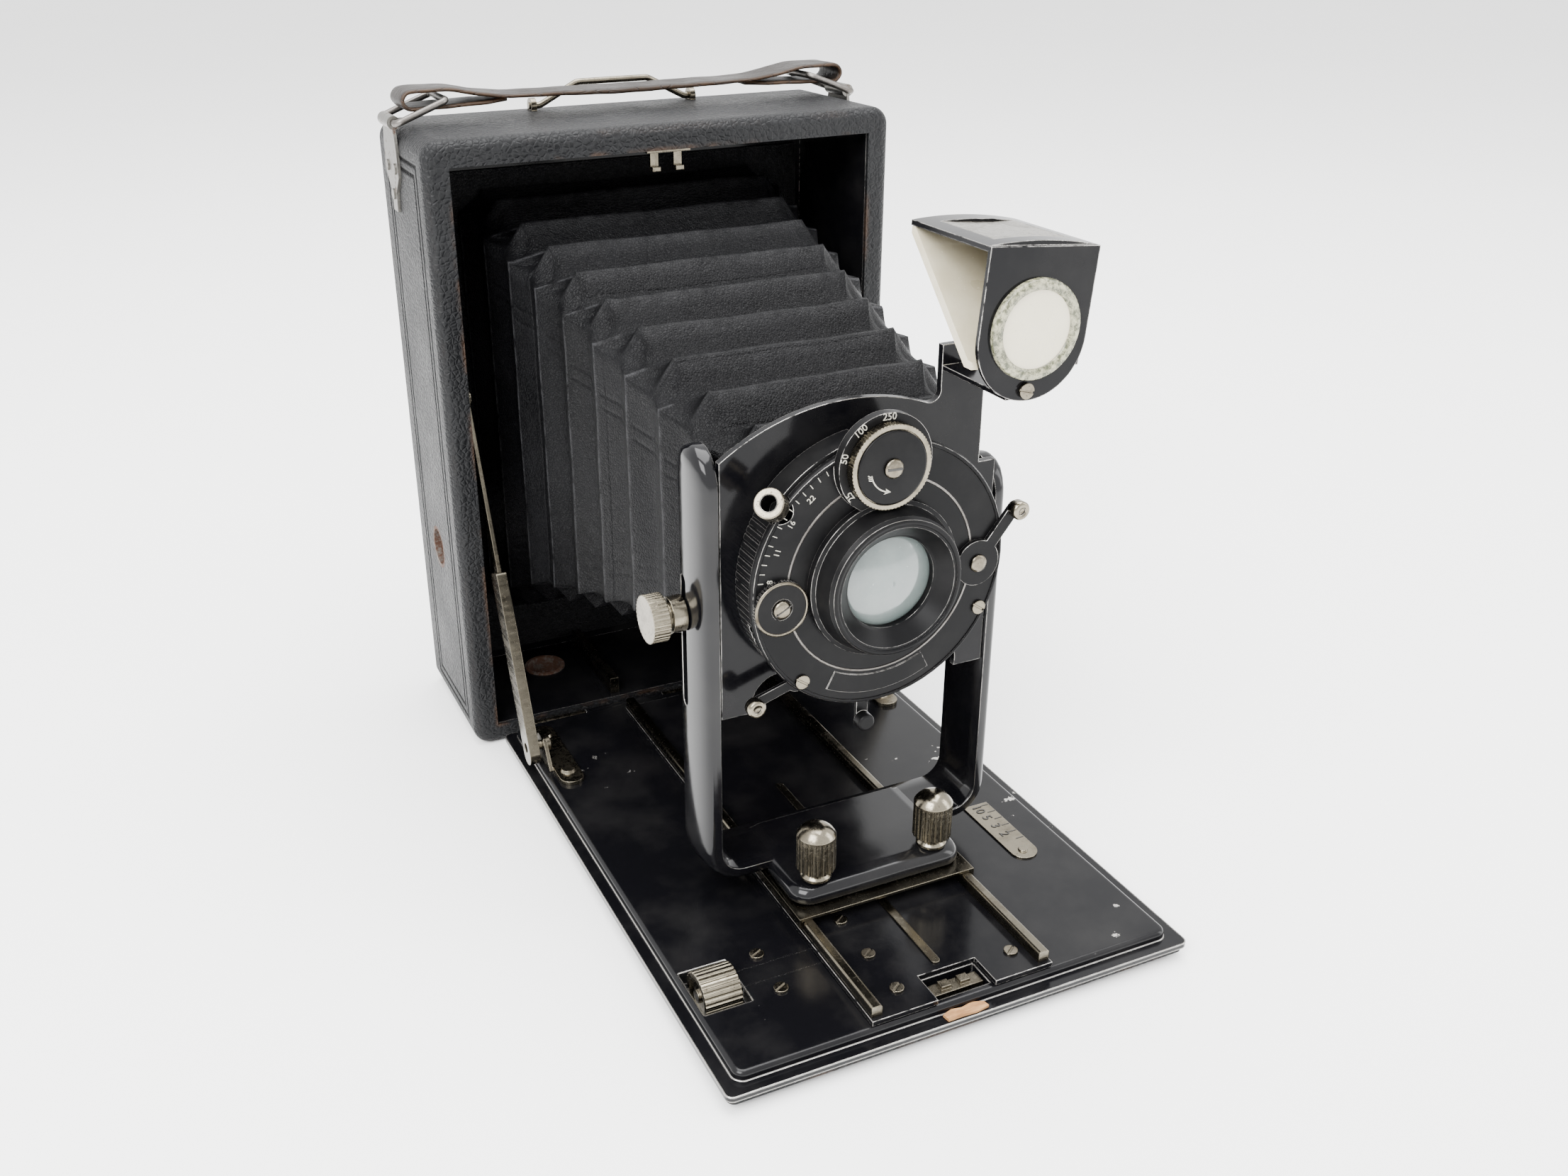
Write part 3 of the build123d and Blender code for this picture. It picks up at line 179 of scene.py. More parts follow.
def enamel(name, color=(0.0025, 0.0025, 0.0032), wear=0.5, chips=0.0, radius=0.0007, matt=0.0, spec=0.3):
    """Black stoved enamel: fine scratches, dust, and metal showing through on worn edges."""
    m = Mat(name)
    broad = m.noise(60, 5)
    speck = m.noise(900, 3)
    edge = m.edges(radius)
    rub = m.ramp(m.add(edge, m.mul(m.noise(420, 6), 0.9)), 1.36 - 0.3 * wear, 1.52 - 0.3 * wear)
    if chips:
        chip = m.ramp(m.add(m.noise(150, 6, 0.7), m.mul(m.noise(26, 2), 0.5)), 0.97 - chips, 0.98 - chips)
        rub = m.math("MAXIMUM", rub, chip)
    dust = m.mul(m.ramp(broad, 0.45, 0.75), 0.012)
    base = m.mix(dust, color, (0.5, 0.48, 0.44))
    m.bump(m.add(m.mul(m.noise(240, 3), 0.6), m.mul(rub, -1.6)), 0.12, 0.0002, radius * 0.6)
    return m.set(
        color=m.mix(rub, base, (0.55, 0.53, 0.5)),
        rough=m.add(m.ramp(broad, 0.3, 0.75, 0.07 + matt, 0.17 + matt), m.mul(speck, 0.06)),
        metal=m.mul(rub, 0.9), spec=spec,
    )


def nickel(name, color=(0.18, 0.16, 0.122), dirt=0.75, rough=0.22, brush=(1, 1, 1)):
    """Old nickel plating: warm, slightly brushed, with dark patina gathered in patches."""
    m = Mat(name)
    patch = m.ramp(m.noise(170, 6, 0.7), 0.48, 0.75)
    pit = m.ramp(m.noise(1500, 3), 0.62, 0.72)
    lines = m.noise(1100, 4, 0.6, vector=m.stretch(*brush))
    dark = m.mul(m.math("MAXIMUM", patch, pit), dirt)
    m.bump(m.add(lines, m.mul(pit, -0.8)), 0.1, 0.0002, 0.00025)
    return m.set(
        color=m.mix(dark, color, (0.035, 0.026, 0.017)),
        rough=m.add(m.ramp(lines, 0.3, 0.7, rough - 0.06, rough + 0.1), m.mul(dark, 0.25)),
        metal=1.0,
    )


def cover_leather(name):
    """Pebbled black leathercloth, greyed on the faces and worn brown on the front edges."""
    m = Mat(name)
    x, y, z = m.xyz()
    cell = m.cells(780)
    big = m.cells(420)
    grain = m.add(m.ramp(cell, 0.0, 0.22), m.mul(m.ramp(big, 0.0, 0.3), 0.8))
    fuzz = m.noise(1800, 4)
    patch = m.noise(45, 5)
    edge = m.edges(0.0022)
    front = m.ramp(y, 0.0515, 0.0485)
    top = m.ramp(z, 0.148, 0.1555)
    rub = m.ramp(m.add(m.mul(edge, 0.75), m.mul(m.noise(130, 6, 0.7), 0.8)), 0.78, 1.12)
    worn = m.mul(rub, m.ramp(m.noise(70, 3), 0.5, 0.62))
    brown = m.mul(worn, m.math("MAXIMUM", m.mul(front, top), m.mul(edge, 0.2)))
    # two lines pressed round each side wall
    near = m.math("MINIMUM", m.add(y, -FRONT), m.math("SUBTRACT", BACK_EDGE, y))
    near = m.math("MINIMUM", near, m.math("MINIMUM", z, m.math("SUBTRACT", BODY_TOP, z)))
    wall = m.ramp(m.math("ABSOLUTE", x), SIDE_SKIN - 0.0005, SIDE_SKIN)
    pressed = 0.0
    for at in (0.0062, 0.0086):
        line = m.ramp(m.math("ABSOLUTE", m.math("SUBTRACT", near, at)), 0.0008, 0.0003)
        pressed = m.math("MAXIMUM", line, pressed)
    pressed = m.mul(pressed, wall)
    m.bump(m.add(m.add(grain, m.mul(fuzz, 0.3)), m.mul(pressed, -3.2)), 0.55, 0.0003)
    face = m.mix(m.ramp(patch, 0.35, 0.7), (0.0045, 0.0047, 0.0053), (0.0105, 0.0108, 0.0116))
    face = m.mix(m.ramp(grain, 0.5, 0.0), face, (0.004, 0.004, 0.005))
    face = m.mix(m.mul(pressed, 0.9), face, (0.001, 0.001, 0.0012))
    return m.set(
        color=m.mix(brown, face, (0.17, 0.085, 0.04)),
        rough=m.add(m.ramp(patch, 0.3, 0.7, 0.36, 0.5), m.mul(fuzz, 0.08)),
        spec=m.ramp(pressed, 0, 1, 0.17, 0.01),
    )


def fold_leather(name):
    """Thin bellows leather: fine pores, the pairs of creases left by the stiffeners, painted highlights on
    the ridge crests and painted shade in the folds of its top.
    """
    m = Mat(name)
    x, y, z = m.xyz()
    pore = m.cells(1500)
    fine = m.noise(700, 6, 0.65)
    cloud = m.noise(38, 4)
    d = m.math("SUBTRACT", FRONT, y)
    below = m.math("SUBTRACT", m.add(0.1311, m.mul(d, -0.215)), z)
    above = m.math("SUBTRACT", z, m.add(0.0387, m.mul(d, 0.275)))
    step = m.math("FRACT", m.mul(m.math("SUBTRACT", d, CREST), 1 / (PITCH * MM)))
    panel = m.mul(m.ramp(step, 0.58, 0.66), m.ramp(step, 1.44, 1.36))
    panel = m.math("MAXIMUM", panel, m.ramp(step, 0.42, 0.36))
    pair = 0.0
    creases = ((below, 0.0165, 1.0), (below, 0.0196, 0.9), (above, 0.0142, 0.5), (above, 0.0172, 0.4))
    for height, at, force in creases:
        away = m.math("ABSOLUTE", m.math("SUBTRACT", m.add(height, m.mul(m.noise(220, 2), 0.0012)), at))
        pair = m.math("MAXIMUM", m.mul(m.ramp(away, 0.0008, 0.0), force), pair)
    pair = m.mul(pair, panel)
    # painted highlight: the side crests are drawn lighter, in patches
    side = m.ramp(m.math("ABSOLUTE", x), 0.0285, 0.0295)
    ridge = m.ramp(m.math("ABSOLUTE", m.math("SUBTRACT", step, 0.5)), 0.045, 0.0)
    side_crest_highlight = m.mul(m.mul(ridge, side), m.ramp(m.noise(300, 4), 0.35, 0.6))
    # painted shade: on the top of the bellows each pleat is darkened from just past one ridge to just before
    # the next, and its specular is lowered there
    crown = m.ramp(below, 0.006, 0.002)
    shade = m.mul(crown, m.mul(m.ramp(step, 0.12, 0.72), m.ramp(step, 1.0, 0.93)))
    # painted highlight: a lighter, patchy line along each top ridge
    top_ridge = m.math("MAXIMUM", m.ramp(step, 0.2, 0.0), m.ramp(step, 0.965, 1.0))
    crest = m.mul(m.mul(crown, m.ramp(m.noise(260, 4), 0.3, 0.62)), top_ridge)
    wrinkle = m.noise(120, 5, 0.7, 1.2)
    grain = m.add(m.ramp(pore, 0, 0.2), m.mul(fine, 1.2))
    m.bump(m.add(grain, m.add(m.mul(pair, -4.5), m.mul(wrinkle, 5.0))), 0.42, 0.0004)
    body = m.mix(m.ramp(cloud, 0.3, 0.7), (0.0016, 0.0016, 0.0019), (0.0042, 0.0042, 0.0048))
    body = m.mix(m.mul(m.ramp(fine, 0.55, 0.8), 0.4), body, (0.010, 0.0098, 0.0098))
    # painted shade darkens the top folds
    body = m.mix(m.mul(shade, 0.75), body, (0.001, 0.001, 0.0012))
    # painted highlight lightens the top ridges
    body = m.mix(m.mul(crest, 0.5), body, (0.02, 0.02, 0.021))
    # the colour gets a painted highlight on the side crests; the specular is lowered under the painted shade
    return m.set(
        color=m.mix(m.mul(side_crest_highlight, 0.8), body, (0.032, 0.032, 0.034)),
        rough=m.ramp(cloud, 0.3, 0.7, 0.3, 0.44), spec=m.ramp(shade, 0, 1, 0.085, 0.02),
    )


def strap_leather(name):
    """Dark bridle leather with brown worn edges and a cracked surface."""
    m = Mat(name)
    crack = m.ramp(m.cells(300, m.stretch(0.5, 1.6, 1)), 0.05, 0.0)
    cloud = m.noise(90, 6, 0.7)
    edge = m.edges(0.0012)
    worn = m.ramp(m.add(m.mul(edge, 0.7), m.mul(cloud, 0.9)), 0.62, 1.05)
    m.bump(m.add(m.noise(500, 6), m.mul(crack, -0.8)), 0.4, 0.0004)
    base = m.mix(worn, (0.011, 0.008, 0.006), (0.085, 0.042, 0.018))
    return m.set(color=m.mix(m.mul(crack, 0.6), base, (0.01, 0.007, 0.006)),
                 rough=m.ramp(cloud, 0.3, 0.7, 0.34, 0.56), spec=0.22)


def iron(name, rust_from, rust_to):
    """Dull iron, bare on the high spots and brown with rust in patches."""
    m = Mat(name)
    patch = m.ramp(m.noise(330, 6, 0.75), rust_from, rust_to)
    pit = m.noise(1400, 4)
    m.bump(m.add(pit, m.mul(patch, 0.6)), 0.3, 0.0003)
    return m.set(color=m.mix(patch, (0.17, 0.165, 0.15), (0.06, 0.026, 0.014)),
                 rough=m.add(m.ramp(patch, 0, 1, 0.32, 0.75), m.mul(pit, 0.1)),
                 metal=m.ramp(patch, 0, 1, 1.0, 0.25))


def milky_glass(name, color, rough, cloudy, tone):
    """Old glass with a hazy film and faint specks."""
    m = Mat(name)
    film = m.ramp(m.noise(120, 5), 0.3, 0.75)
    speck = m.ramp(m.noise(1600, 3), 0.66, 0.72)
    m.bump(m.noise(200, 2), 0.02, 0.0001)
    return m.set(color=m.mix(m.math("MAXIMUM", m.mul(film, cloudy), speck), color, tone),
                 rough=m.ramp(film, 0, 1, rough, rough + 0.15), spec=0.7, coat=0.8, coat_rough=0.04)


def ink(name, color):
    """Paint laid in engraved lines: slightly broken up."""
    m = Mat(name)
    gap = m.ramp(m.noise(2200, 3), 0.3, 0.5)
    return m.set(color=m.mix(gap, tuple(c * 0.55 for c in color), color), rough=m.ramp(gap, 0, 1, 0.7, 0.45))


def speckled(name):
    """The translucent crackled ring round the finder's lens."""
    m = Mat(name)
    spot = m.ramp(m.noise(900, 6, 0.75), 0.42, 0.6)
    m.bump(m.noise(900, 4), 0.3, 0.0002)
    return m.set(color=m.mix(spot, (0.06, 0.065, 0.035), (0.36, 0.345, 0.23)),
                 rough=m.ramp(spot, 0, 1, 0.2, 0.45), spec=0.6)


def torn_wood(name):
    """Bare wood where the bed's covering is torn: long fibres, light and dark."""
    m = Mat(name)
    fibre = m.noise(500, 6, 0.7, vector=m.stretch(0.2, 1, 1))
    m.bump(fibre, 0.8, 0.0006)
    return m.set(color=m.mix(m.ramp(fibre, 0.35, 0.65), (0.2, 0.085, 0.025), (0.52, 0.29, 0.12)),
                 rough=m.ramp(fibre, 0, 1, 0.7, 0.9))


GLOSS = enamel("gloss_enamel", wear=0.12, radius=0.0004, spec=0.15)
ARMS = enamel("arm_enamel", wear=0.3, radius=0.0004, spec=0.3)
BED = enamel("bed_enamel", wear=0.9, chips=0.012, matt=0.03, spec=0.22)
SATIN = enamel("satin_enamel", (0.0028, 0.0028, 0.0032), wear=0.12, radius=0.0003, matt=0.2, spec=0.1)
NICKEL = nickel("old_nickel")
BRIGHT = nickel("bright_nickel", (0.22, 0.197, 0.15), 0.65, 0.15)
BARS = nickel("rail_nickel", (0.16, 0.144, 0.11), 0.8, 0.18, (0.2, 0.02, 1))
BLUED = nickel("dark_steel", (0.16, 0.15, 0.14), 0.6, 0.34)
BUSH = iron("rusty_bush", 0.3, 0.5)
IRON = iron("strap_iron", 0.56, 0.66)
COVER = cover_leather("cover_leather")
FOLDS = fold_leather("bellows_leather")
STRAP = strap_leather("strap_leather")
GROUND = milky_glass("ground_glass_mat", (0.42, 0.44, 0.43), 0.45, 0.5, (0.6, 0.6, 0.57))
LENS = milky_glass("lens_glass_mat", (0.1, 0.125, 0.12), 0.1, 0.5, (0.2, 0.23, 0.22))
PEARL = milky_glass("finder_lens_mat", (0.66, 0.61, 0.45), 0.12, 0.6, (0.52, 0.47, 0.33))
MIRROR = milky_glass("mirror_face", (0.5, 0.44, 0.3), 0.25, 0.6, (0.72, 0.67, 0.52))
CRACKLE = speckled("finder_ring_mat")
WHITE = ink("white_paint", (0.4, 0.385, 0.33))
BLACK_INK = ink("black_paint", (0.02, 0.018, 0.015))
WOOD = torn_wood("torn_wood")

LOOKS = {
    GLOSS: ["front_standard", "lens_board", "finder_housing", "body_box", "rear_frame", "track_plate"],
    BED: ["bed_plate"],
    SATIN: ["shutter_housing", "shutter_face", "lens_barrel", "focusing_back", "hood_lid", "selector_dial",
            "cocking_lever", "release_lever", "aperture_pointer"],
    NICKEL: ["body_hinge", "catch_plate", "bail_eyes", "back_catch_bail", "bed_screws", "track_screws",
             "face_screws", "strut_bracket_left", "strut_bracket_right", "bed_latch"],
    BRIGHT: ["pinch_knob_left", "pinch_knob_right", "rise_knob", "speed_dial", "distance_scale",
             "focus_wheel", "finder_window"],
    BARS: ["track_rails", "center_strip", "slider_plate", "body_rails", "strut_channel_left",
           "strut_channel_right", "strut_blade_left", "strut_blade_right"],
    IRON: ["strap_bracket_left", "strap_bracket_right"],
    BLUED: ["focus_shaft", "strap_ring_left", "strap_ring_right"],
    BUSH: ["tripod_bushes"],
    COVER: ["leather_cover", "bed_leather"],
    GROUND: ["ground_glass"],
    LENS: ["lens_glass"],
    PEARL: ["finder_lens"],
    MIRROR: ["finder_mirror"],
}
for look, names in LOOKS.items():
    for name in names:
        mesh = NODES[name].data
        if mesh.materials:
            mesh.materials[0] = look
        else:
            mesh.materials.append(look)


# ------------------------------------------------------------------ mesh helpers


def build(name, verts, faces, look, body, smooth=True):
    """A mesh object with one look, riding on a body."""
    mesh = bpy.data.meshes.new(name)
    mesh.from_pydata([tuple(v) for v in verts], [], faces)
    mesh.update()
    mesh.materials.append(look)
    for face in mesh.polygons:
        face.use_smooth = smooth
    obj = bpy.data.objects.new(name, mesh)
    bpy.context.scene.collection.objects.link(obj)
    if body:
        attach(obj, body)
    return obj


def loft(name, rings, look, body, caps=True, smooth=True):
    """A skin over closed rings that all have the same number of points."""
    count = len(rings[0])
    verts = [v for ring in rings for v in ring]
    faces = []
    for i in range(len(rings) - 1):
        for j in range(count):
            k = (j + 1) % count
            faces.append((i * count + j, i * count + k, (i + 1) * count + k, (i + 1) * count + j))
    if caps:
        faces.append(tuple(range(count))[::-1])
        faces.append(tuple(range((len(rings) - 1) * count, len(rings) * count)))
    return build(name, verts, faces, look, body, smooth)


ROUND = 64


def disc_ring(x, z, d, r):
    """A circle of radius r about the line through (x, z), d ahead."""
    return [P(x + r * math.cos(2 * math.pi * k / ROUND), d, z + r * math.sin(2 * math.pi * k / ROUND))
            for k in range(ROUND)]


def quarter(parts):
    """Angles from 0 to a right angle."""
    return (math.pi / 2 * k / parts for k in range(parts + 1))


def turned(name, x, z, profile, look, body):
    """A part turned about a line along Y: profile is (distance ahead, radius)."""
    return loft(name, [disc_ring(x, z, d, r) for d, r in profile], look, body)


def turned_ring(name, x, z, profile, look, body):
    """A turned ring: the profile closes on itself and leaves the middle open."""
    rings = [disc_ring(x, z, d, r) for d, r in profile]
    return loft(name, rings + [rings[0]], look, body, caps=False)


def writing(name, text, at, size, plane, look, body, turn=0.0):
    """Raised numbers. plane is their right and up directions."""
    curve = bpy.data.curves.new(name, "FONT")
    curve.body = text
    curve.size = size * MM
    curve.align_x = "CENTER"
    curve.align_y = "CENTER"
    curve.extrude = 0.0001
    curve.resolution_u = 3
    holder = bpy.data.objects.new(name + "_curve", curve)
    bpy.context.scene.collection.objects.link(holder)
    bpy.context.view_layer.update()
    mesh = bpy.data.meshes.new_from_object(holder.evaluated_get(bpy.context.evaluated_depsgraph_get()))
    bpy.data.objects.remove(holder)
    right, up = (Vector(v).normalized() for v in plane)
    basis = Matrix((right, up, right.cross(up))).transposed().to_4x4()
    mesh.transform(Matrix.Translation(at) @ basis @ Matrix.Rotation(math.radians(turn), 4, "Z"))
    mesh.materials.clear()
    mesh.materials.append(look)
    obj = bpy.data.objects.new(name, mesh)
    bpy.context.scene.collection.objects.link(obj)
    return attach(obj, body)


def slab(name, corners, low, high, look, body, axis="Z"):
    """A flat plate with the given outline, from low to high along Z, or along Y for the face."""
    def place(a, b, h):
        return P(a, b, h) if axis == "Z" else P(a, h, b)
    verts = [place(a, b, low) for a, b in corners] + [place(a, b, high) for a, b in corners]
    n = len(corners)
    faces = [tuple(range(n))[::-1], tuple(range(n, 2 * n))]
    faces += [(i, (i + 1) % n, n + (i + 1) % n, n + i) for i in range(n)]
    return build(name, verts, faces, look, body, smooth=False)


# ------------------------------------------------------------------ bellows


REAR_D, SPLIT, FRONT_D, END_D, FOLD_COUNT = -36.0, 4.0, 82.0, 93.0, 4
FOLD_LONG = (FRONT_D - SPLIT) / FOLD_COUNT


def section(d):
    """Half width, top and bottom of the bellows at a distance ahead of the body."""
    low = 64.6 - 0.275 * (93 - d) - 0.0042 * max(0.0, 11 - d) ** 2
    return 30.0 + 0.118 * (83 - d), 114.6 + 0.215 * (75.8 - d), low


def wobble(a, b, c):
    """A smooth uneven value from -1 to 1, the same on every run."""
    return math.sin(a * 1.7 + b * 0.9 + c) * 0.5 + math.sin(a * 0.61 - b * 2.3 + 2 * c) * 0.5


def ridge_at(d, shift=0.0):
    """1 on a crest and 0 in a valley, with the crest sharper than the valley."""
    step = ((d - CREST / MM) / PITCH + shift) % 1.0
    away = min(step, 1 - step) * 2
    return (1 - away) ** 1.25 * 0.85 + 0.15 * (0.5 + 0.5 * math.cos(math.pi * away))


def bellows_ring(d, inset):
    """One ring of the pleated skin. Top ridges and side ridges alternate, and zigzag at the corners."""
    half_w, top, low = section(d)
    half_w -= 0.45 * min(4.0, max(0.0, d - FRONT_D))
    over, beside = ridge_at(d), ridge_at(d, 0.5)
    number = math.floor((d - CREST / MM) / PITCH + 0.5)
    steps_flat, steps_ear = 26, 5
    room = min(1.0, (END_D - d) / 10 + 0.25)
    quarters = []
    for sx, sz in ((1, 1), (-1, 1), (-1, -1), (1, -1)):
        edge = top if sz > 0 else low
        jog = 0.35 * wobble(number, sx, sz)
        top_end = (half_w - 6.9 - 1.6 * (1 - over) + 0.5 * over + jog,
                   edge + sz * (0.7 * over - 3.9 * (1 - over)))
        side_end = (half_w - 1.5 * (1 - beside) + 0.6 * beside, edge - sz * (5.4 + 1.4 * (1 - beside) - jog))
        apex = (top_end[0] + (side_end[0] - top_end[0]) * beside,
                top_end[1] + (side_end[1] - top_end[1]) * beside)
        pinch = 1.5 * math.sin(math.pi * beside) * (0.6 + 0.4 * wobble(number + 3, sz, sx))
        apex = (apex[0] - pinch * 0.8, apex[1] - sz * pinch * 0.8)
        corner = []
        for start, end in ((side_end, apex), (apex, top_end)):
            for k in range(steps_ear):
                t = k / steps_ear
                corner.append((start[0] + (end[0] - start[0]) * t, start[1] + (end[1] - start[1]) * t))
        corner.append(top_end)
        corner = [(sx * (x - inset), z - sz * inset) for x, z in corner]
        quarters.append(corner if sx * sz > 0 else corner[::-1])
    ring = []
    for q in range(4):
        ring += quarters[q]
        start, end = quarters[q][-1], quarters[(q + 1) % 4][0]
        for k in range(1, steps_flat):
            t = k / steps_flat
            x = start[0] + (end[0] - start[0]) * t
            z = start[1] + (end[1] - start[1]) * t
            swell = math.sin(math.pi * t) ** 0.5
            bump = wobble(t * 9, d * 0.33, q * 1.3) * 0.22
            if q % 2 == 0:
                z += (1 if q == 0 else -1) * (swell * (0.5 * over - 0.5) + bump)
            else:
                x += (-1 if q == 1 else 1) * (swell * (0.4 * beside - 0.5) * room + bump * 0.5)
            ring.append((x, z))
    return [P(x, d, z) for x, z in ring]


def pleated(name, start, end, body):
    """A length of the bellows with an outer and an inner skin, open at both ends."""
    steps = max(6, int(round((end - start) / PITCH * 22)))
    spans = [start + (end - start) * i / steps for i in range(steps + 1)]
    outer = [bellows_ring(d, 0.0) for d in spans]
    inner = [bellows_ring(d, 0.7) for d in reversed(spans)]
    return loft(name, outer + inner + [outer[0]], FOLDS, body, caps=False)


def frame_ring(half_w, low, high, d):
    """A rectangle across the body, d ahead of its front face."""
    return [P(x, d, z) for x, z in ((-half_w, low), (half_w, low), (half_w, high), (-half_w, high))]


flange_outside, flange_inside, flange_faces = (51.6, 8, 142), (40.5, 25, 133), (-37.3, -36.5)
flange_rings = [frame_ring(*flange_outside, d) for d in flange_faces]
flange_rings += [frame_ring(*flange_inside, d) for d in reversed(flange_faces)]
loft("bellows_flange", flange_rings + [flange_rings[0]], FOLDS, "camera_body", caps=False, smooth=False)
spans = [("bellows_rear", "camera_body", REAR_D, SPLIT)]
for i in range(FOLD_COUNT):
    start = SPLIT + FOLD_LONG * i
    spans.append((f"bellows_fold_{i + 1}", f"fold_{i + 1}", start, start + FOLD_LONG))
for node, body, start, end in spans:
    piece = pleated("pleats_" + node[8:], start, end, body)
    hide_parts(node)
    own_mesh(piece)

collar = pleated("front_collar", FRONT_D, END_D, "lens_panel")
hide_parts("bellows_cuff")


# ------------------------------------------------------------------ hand strap


def strap_line():
    """The strap's middle line as (x, z): the folded loop at each end and the long span between."""
    half = [(31.5, 159.75), (41, 159.55), (49, 159.3), (54.9, 159.15), (56.6, 159.8), (57.3, 161.1),
            (56.6, 162.5), (54.9, 163.1), (50, 163.15), (46, 163.0), (42, 162.3), (38, 161.5), (31, 160.75),
            (20, 160.55), (8, 160.35)]
    left = [(-x, z) for x, z in half]
    return left + [(0, 160.3)] + half[::-1]


def smooth_line(points, parts):
    """A Catmull-Rom curve through the points."""
    out = []
    for i in range(len(points) - 1):
        p0, p1 = points[max(i - 1, 0)], points[i]
        p2, p3 = points[i + 1], points[min(i + 2, len(points) - 1)]
        for k in range(parts):
            t = k / parts
            out.append(tuple(
                0.5 * (2 * p1[c] + (p2[c] - p0[c]) * t + (2 * p0[c] - 5 * p1[c] + 4 * p2[c] - p3[c]) * t * t
                       + (3 * p1[c] - p0[c] - 3 * p2[c] + p3[c]) * t ** 3) for c in range(2)))
    out.append(points[-1])
    return out


STRAP_SECTION = ((-1, -0.35), (-0.93, -0.85), (-0.75, -1), (-0.3, -0.96), (0.3, -0.96), (0.75, -1),
                 (0.93, -0.85), (1, -0.35), (1, 0.35), (0.93, 0.85), (0.75, 1), (0.3, 0.94), (-0.3, 0.94),
                 (-0.75, 1), (-0.93, 0.85), (-1, 0.35))
STRAP_HALF, STRAP_D = 5.9, -28
line = smooth_line(strap_line(), 5)
strap_rings = []
for i, (x, z) in enumerate(line):
    before, after = line[max(i - 1, 0)], line[min(i + 1, len(line) - 1)]
    along = Vector((after[0] - before[0], after[1] - before[1])).normalized()
    normal = Vector((-along[1], along[0]))
    from_end = min(i, len(line) - 1 - i)
    half = STRAP_HALF * min(1.0, 0.45 + from_end * 0.16)
    middle = max(0.0, 1 - abs(x) / 30) if from_end > 60 else 0.0
    thick = 0.5 + 0.22 * middle
    ring = []
    for u, v in STRAP_SECTION:
        lift = thick * v + 0.08 * wobble(x * 0.4, u, 1.0)
        ring.append(P(x + normal[0] * lift, STRAP_D + half * u, z + normal[1] * lift))
    strap_rings.append(ring)
strap = loft("strap_leather_piece", strap_rings, STRAP, "strap")
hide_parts("hand_strap")


# ------------------------------------------------------------------ front standard


ARM_LEFT_TOP, ARM_RIGHT_TOP, ARM_HALF = 109.5, 97.5, 7.4


def standard_path():
    """Centre line of the pressed arms: down the left, across the base and up the right."""
    reach, foot, bend = 33.1, 12.9, 7.0
    path = [(-reach, z, -1, 0) for z in (ARM_LEFT_TOP, 109.2, 108.4, 107.2, 105.6, 103.6, 101.8)]
    path += [(-reach, 101.8 - 80 * k / 16, -1, 0) for k in range(1, 17)]
    path += [(-reach + bend - bend * math.cos(a), foot + bend - bend * math.sin(a),
              -math.cos(a), -math.sin(a)) for a in quarter(10)]
    path += [(x, foot, 0, -1) for x in (-18, -9, 0, 9, 18)]
    path += [(reach - bend + bend * math.sin(a), foot + bend - bend * math.cos(a),
              math.sin(a), -math.cos(a)) for a in quarter(10)]
    path += [(reach, 22 + 68 * k / 14, 1, 0) for k in range(14)]
    path += [(reach, z, 1, 0) for z in (89.8, 91.6, 93.6, 95.2, 96.4, 97.2, ARM_RIGHT_TOP)]
    return path


def standard_ring(x, z, nx, nz, tip):
    """A D-shaped section: flat inside, rounded outside. It closes in a dome at the tips."""
    middle, wide = 88.4, ARM_HALF * tip
    ring = []
    for k in range(33):
        a = math.pi * k / 32
        out = -1.1 + 3.1 * math.sin(a) ** 0.62 * min(1.0, 0.35 + tip)
        ring.append(P(x + nx * out, middle + wide * math.cos(a), z + nz * out))
    inside = ((-1, -1.7), (-0.94, -2.0), (-0.5, -2.0), (0, -2.0), (0.5, -2.0), (0.94, -2.0), (1, -1.7))
    for share, out in inside:
        ring.append(P(x + nx * out, middle + wide * share, z + nz * out))
    return ring


def cut_slot(obj, corners):
    """Cuts a hole with the given outline (distance ahead, height) through the left arm."""
    n = len(corners)
    verts = [P(x, d, z) for x in (-37.0, -29.5) for d, z in corners]
    mesh = bpy.data.meshes.new("slot_cutter")
    faces = [tuple(range(n)), tuple(range(n, 2 * n))[::-1]]
    faces += [(i, n + i, n + (i + 1) % n, (i + 1) % n) for i in range(n)]
    mesh.from_pydata([tuple(v) for v in verts], [], faces)
    mesh.update()
    cutter = bpy.data.objects.new("slot_cutter", mesh)
    bpy.context.scene.collection.objects.link(cutter)
    modifier = obj.modifiers.new("slot", "BOOLEAN")
    modifier.operation = "DIFFERENCE"
    modifier.solver = "EXACT"
    modifier.object = cutter
    bpy.context.view_layer.update()
    cut = bpy.data.meshes.new_from_object(obj.evaluated_get(bpy.context.evaluated_depsgraph_get()))
    obj.modifiers.clear()
    obj.data = cut
    bpy.data.objects.remove(cutter)
    bpy.data.meshes.remove(mesh)


standard_rings = []
line = standard_path()
for x, z, nx, nz in line:
    drop = (ARM_LEFT_TOP if x < 0 else ARM_RIGHT_TOP) - z
    tip = 1.0 if drop > ARM_HALF else max(0.09, math.sqrt(max(0.0, 1 - (1 - drop / ARM_HALF) ** 2)))
    standard_rings.append(standard_ring(x, z, nx, nz, tip))
arms = loft("standard_arms", standard_rings, ARMS, "standard")
SLOT_D, SLOT_TOP, SLOT_LOW, SLOT_HALF = 86, 80.3, 53.7, 1.5
round_end = [(SLOT_D + SLOT_HALF * math.cos(a), SLOT_TOP + SLOT_HALF * math.sin(a))
             for a in (math.pi * k / 10 for k in range(11))]
cut_slot(arms, round_end + [(SLOT_D - (d - SLOT_D), SLOT_LOW - (z - SLOT_TOP)) for d, z in round_end])
arms.data.set_sharp_from_angle(angle=math.radians(38))
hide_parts("front_standard")


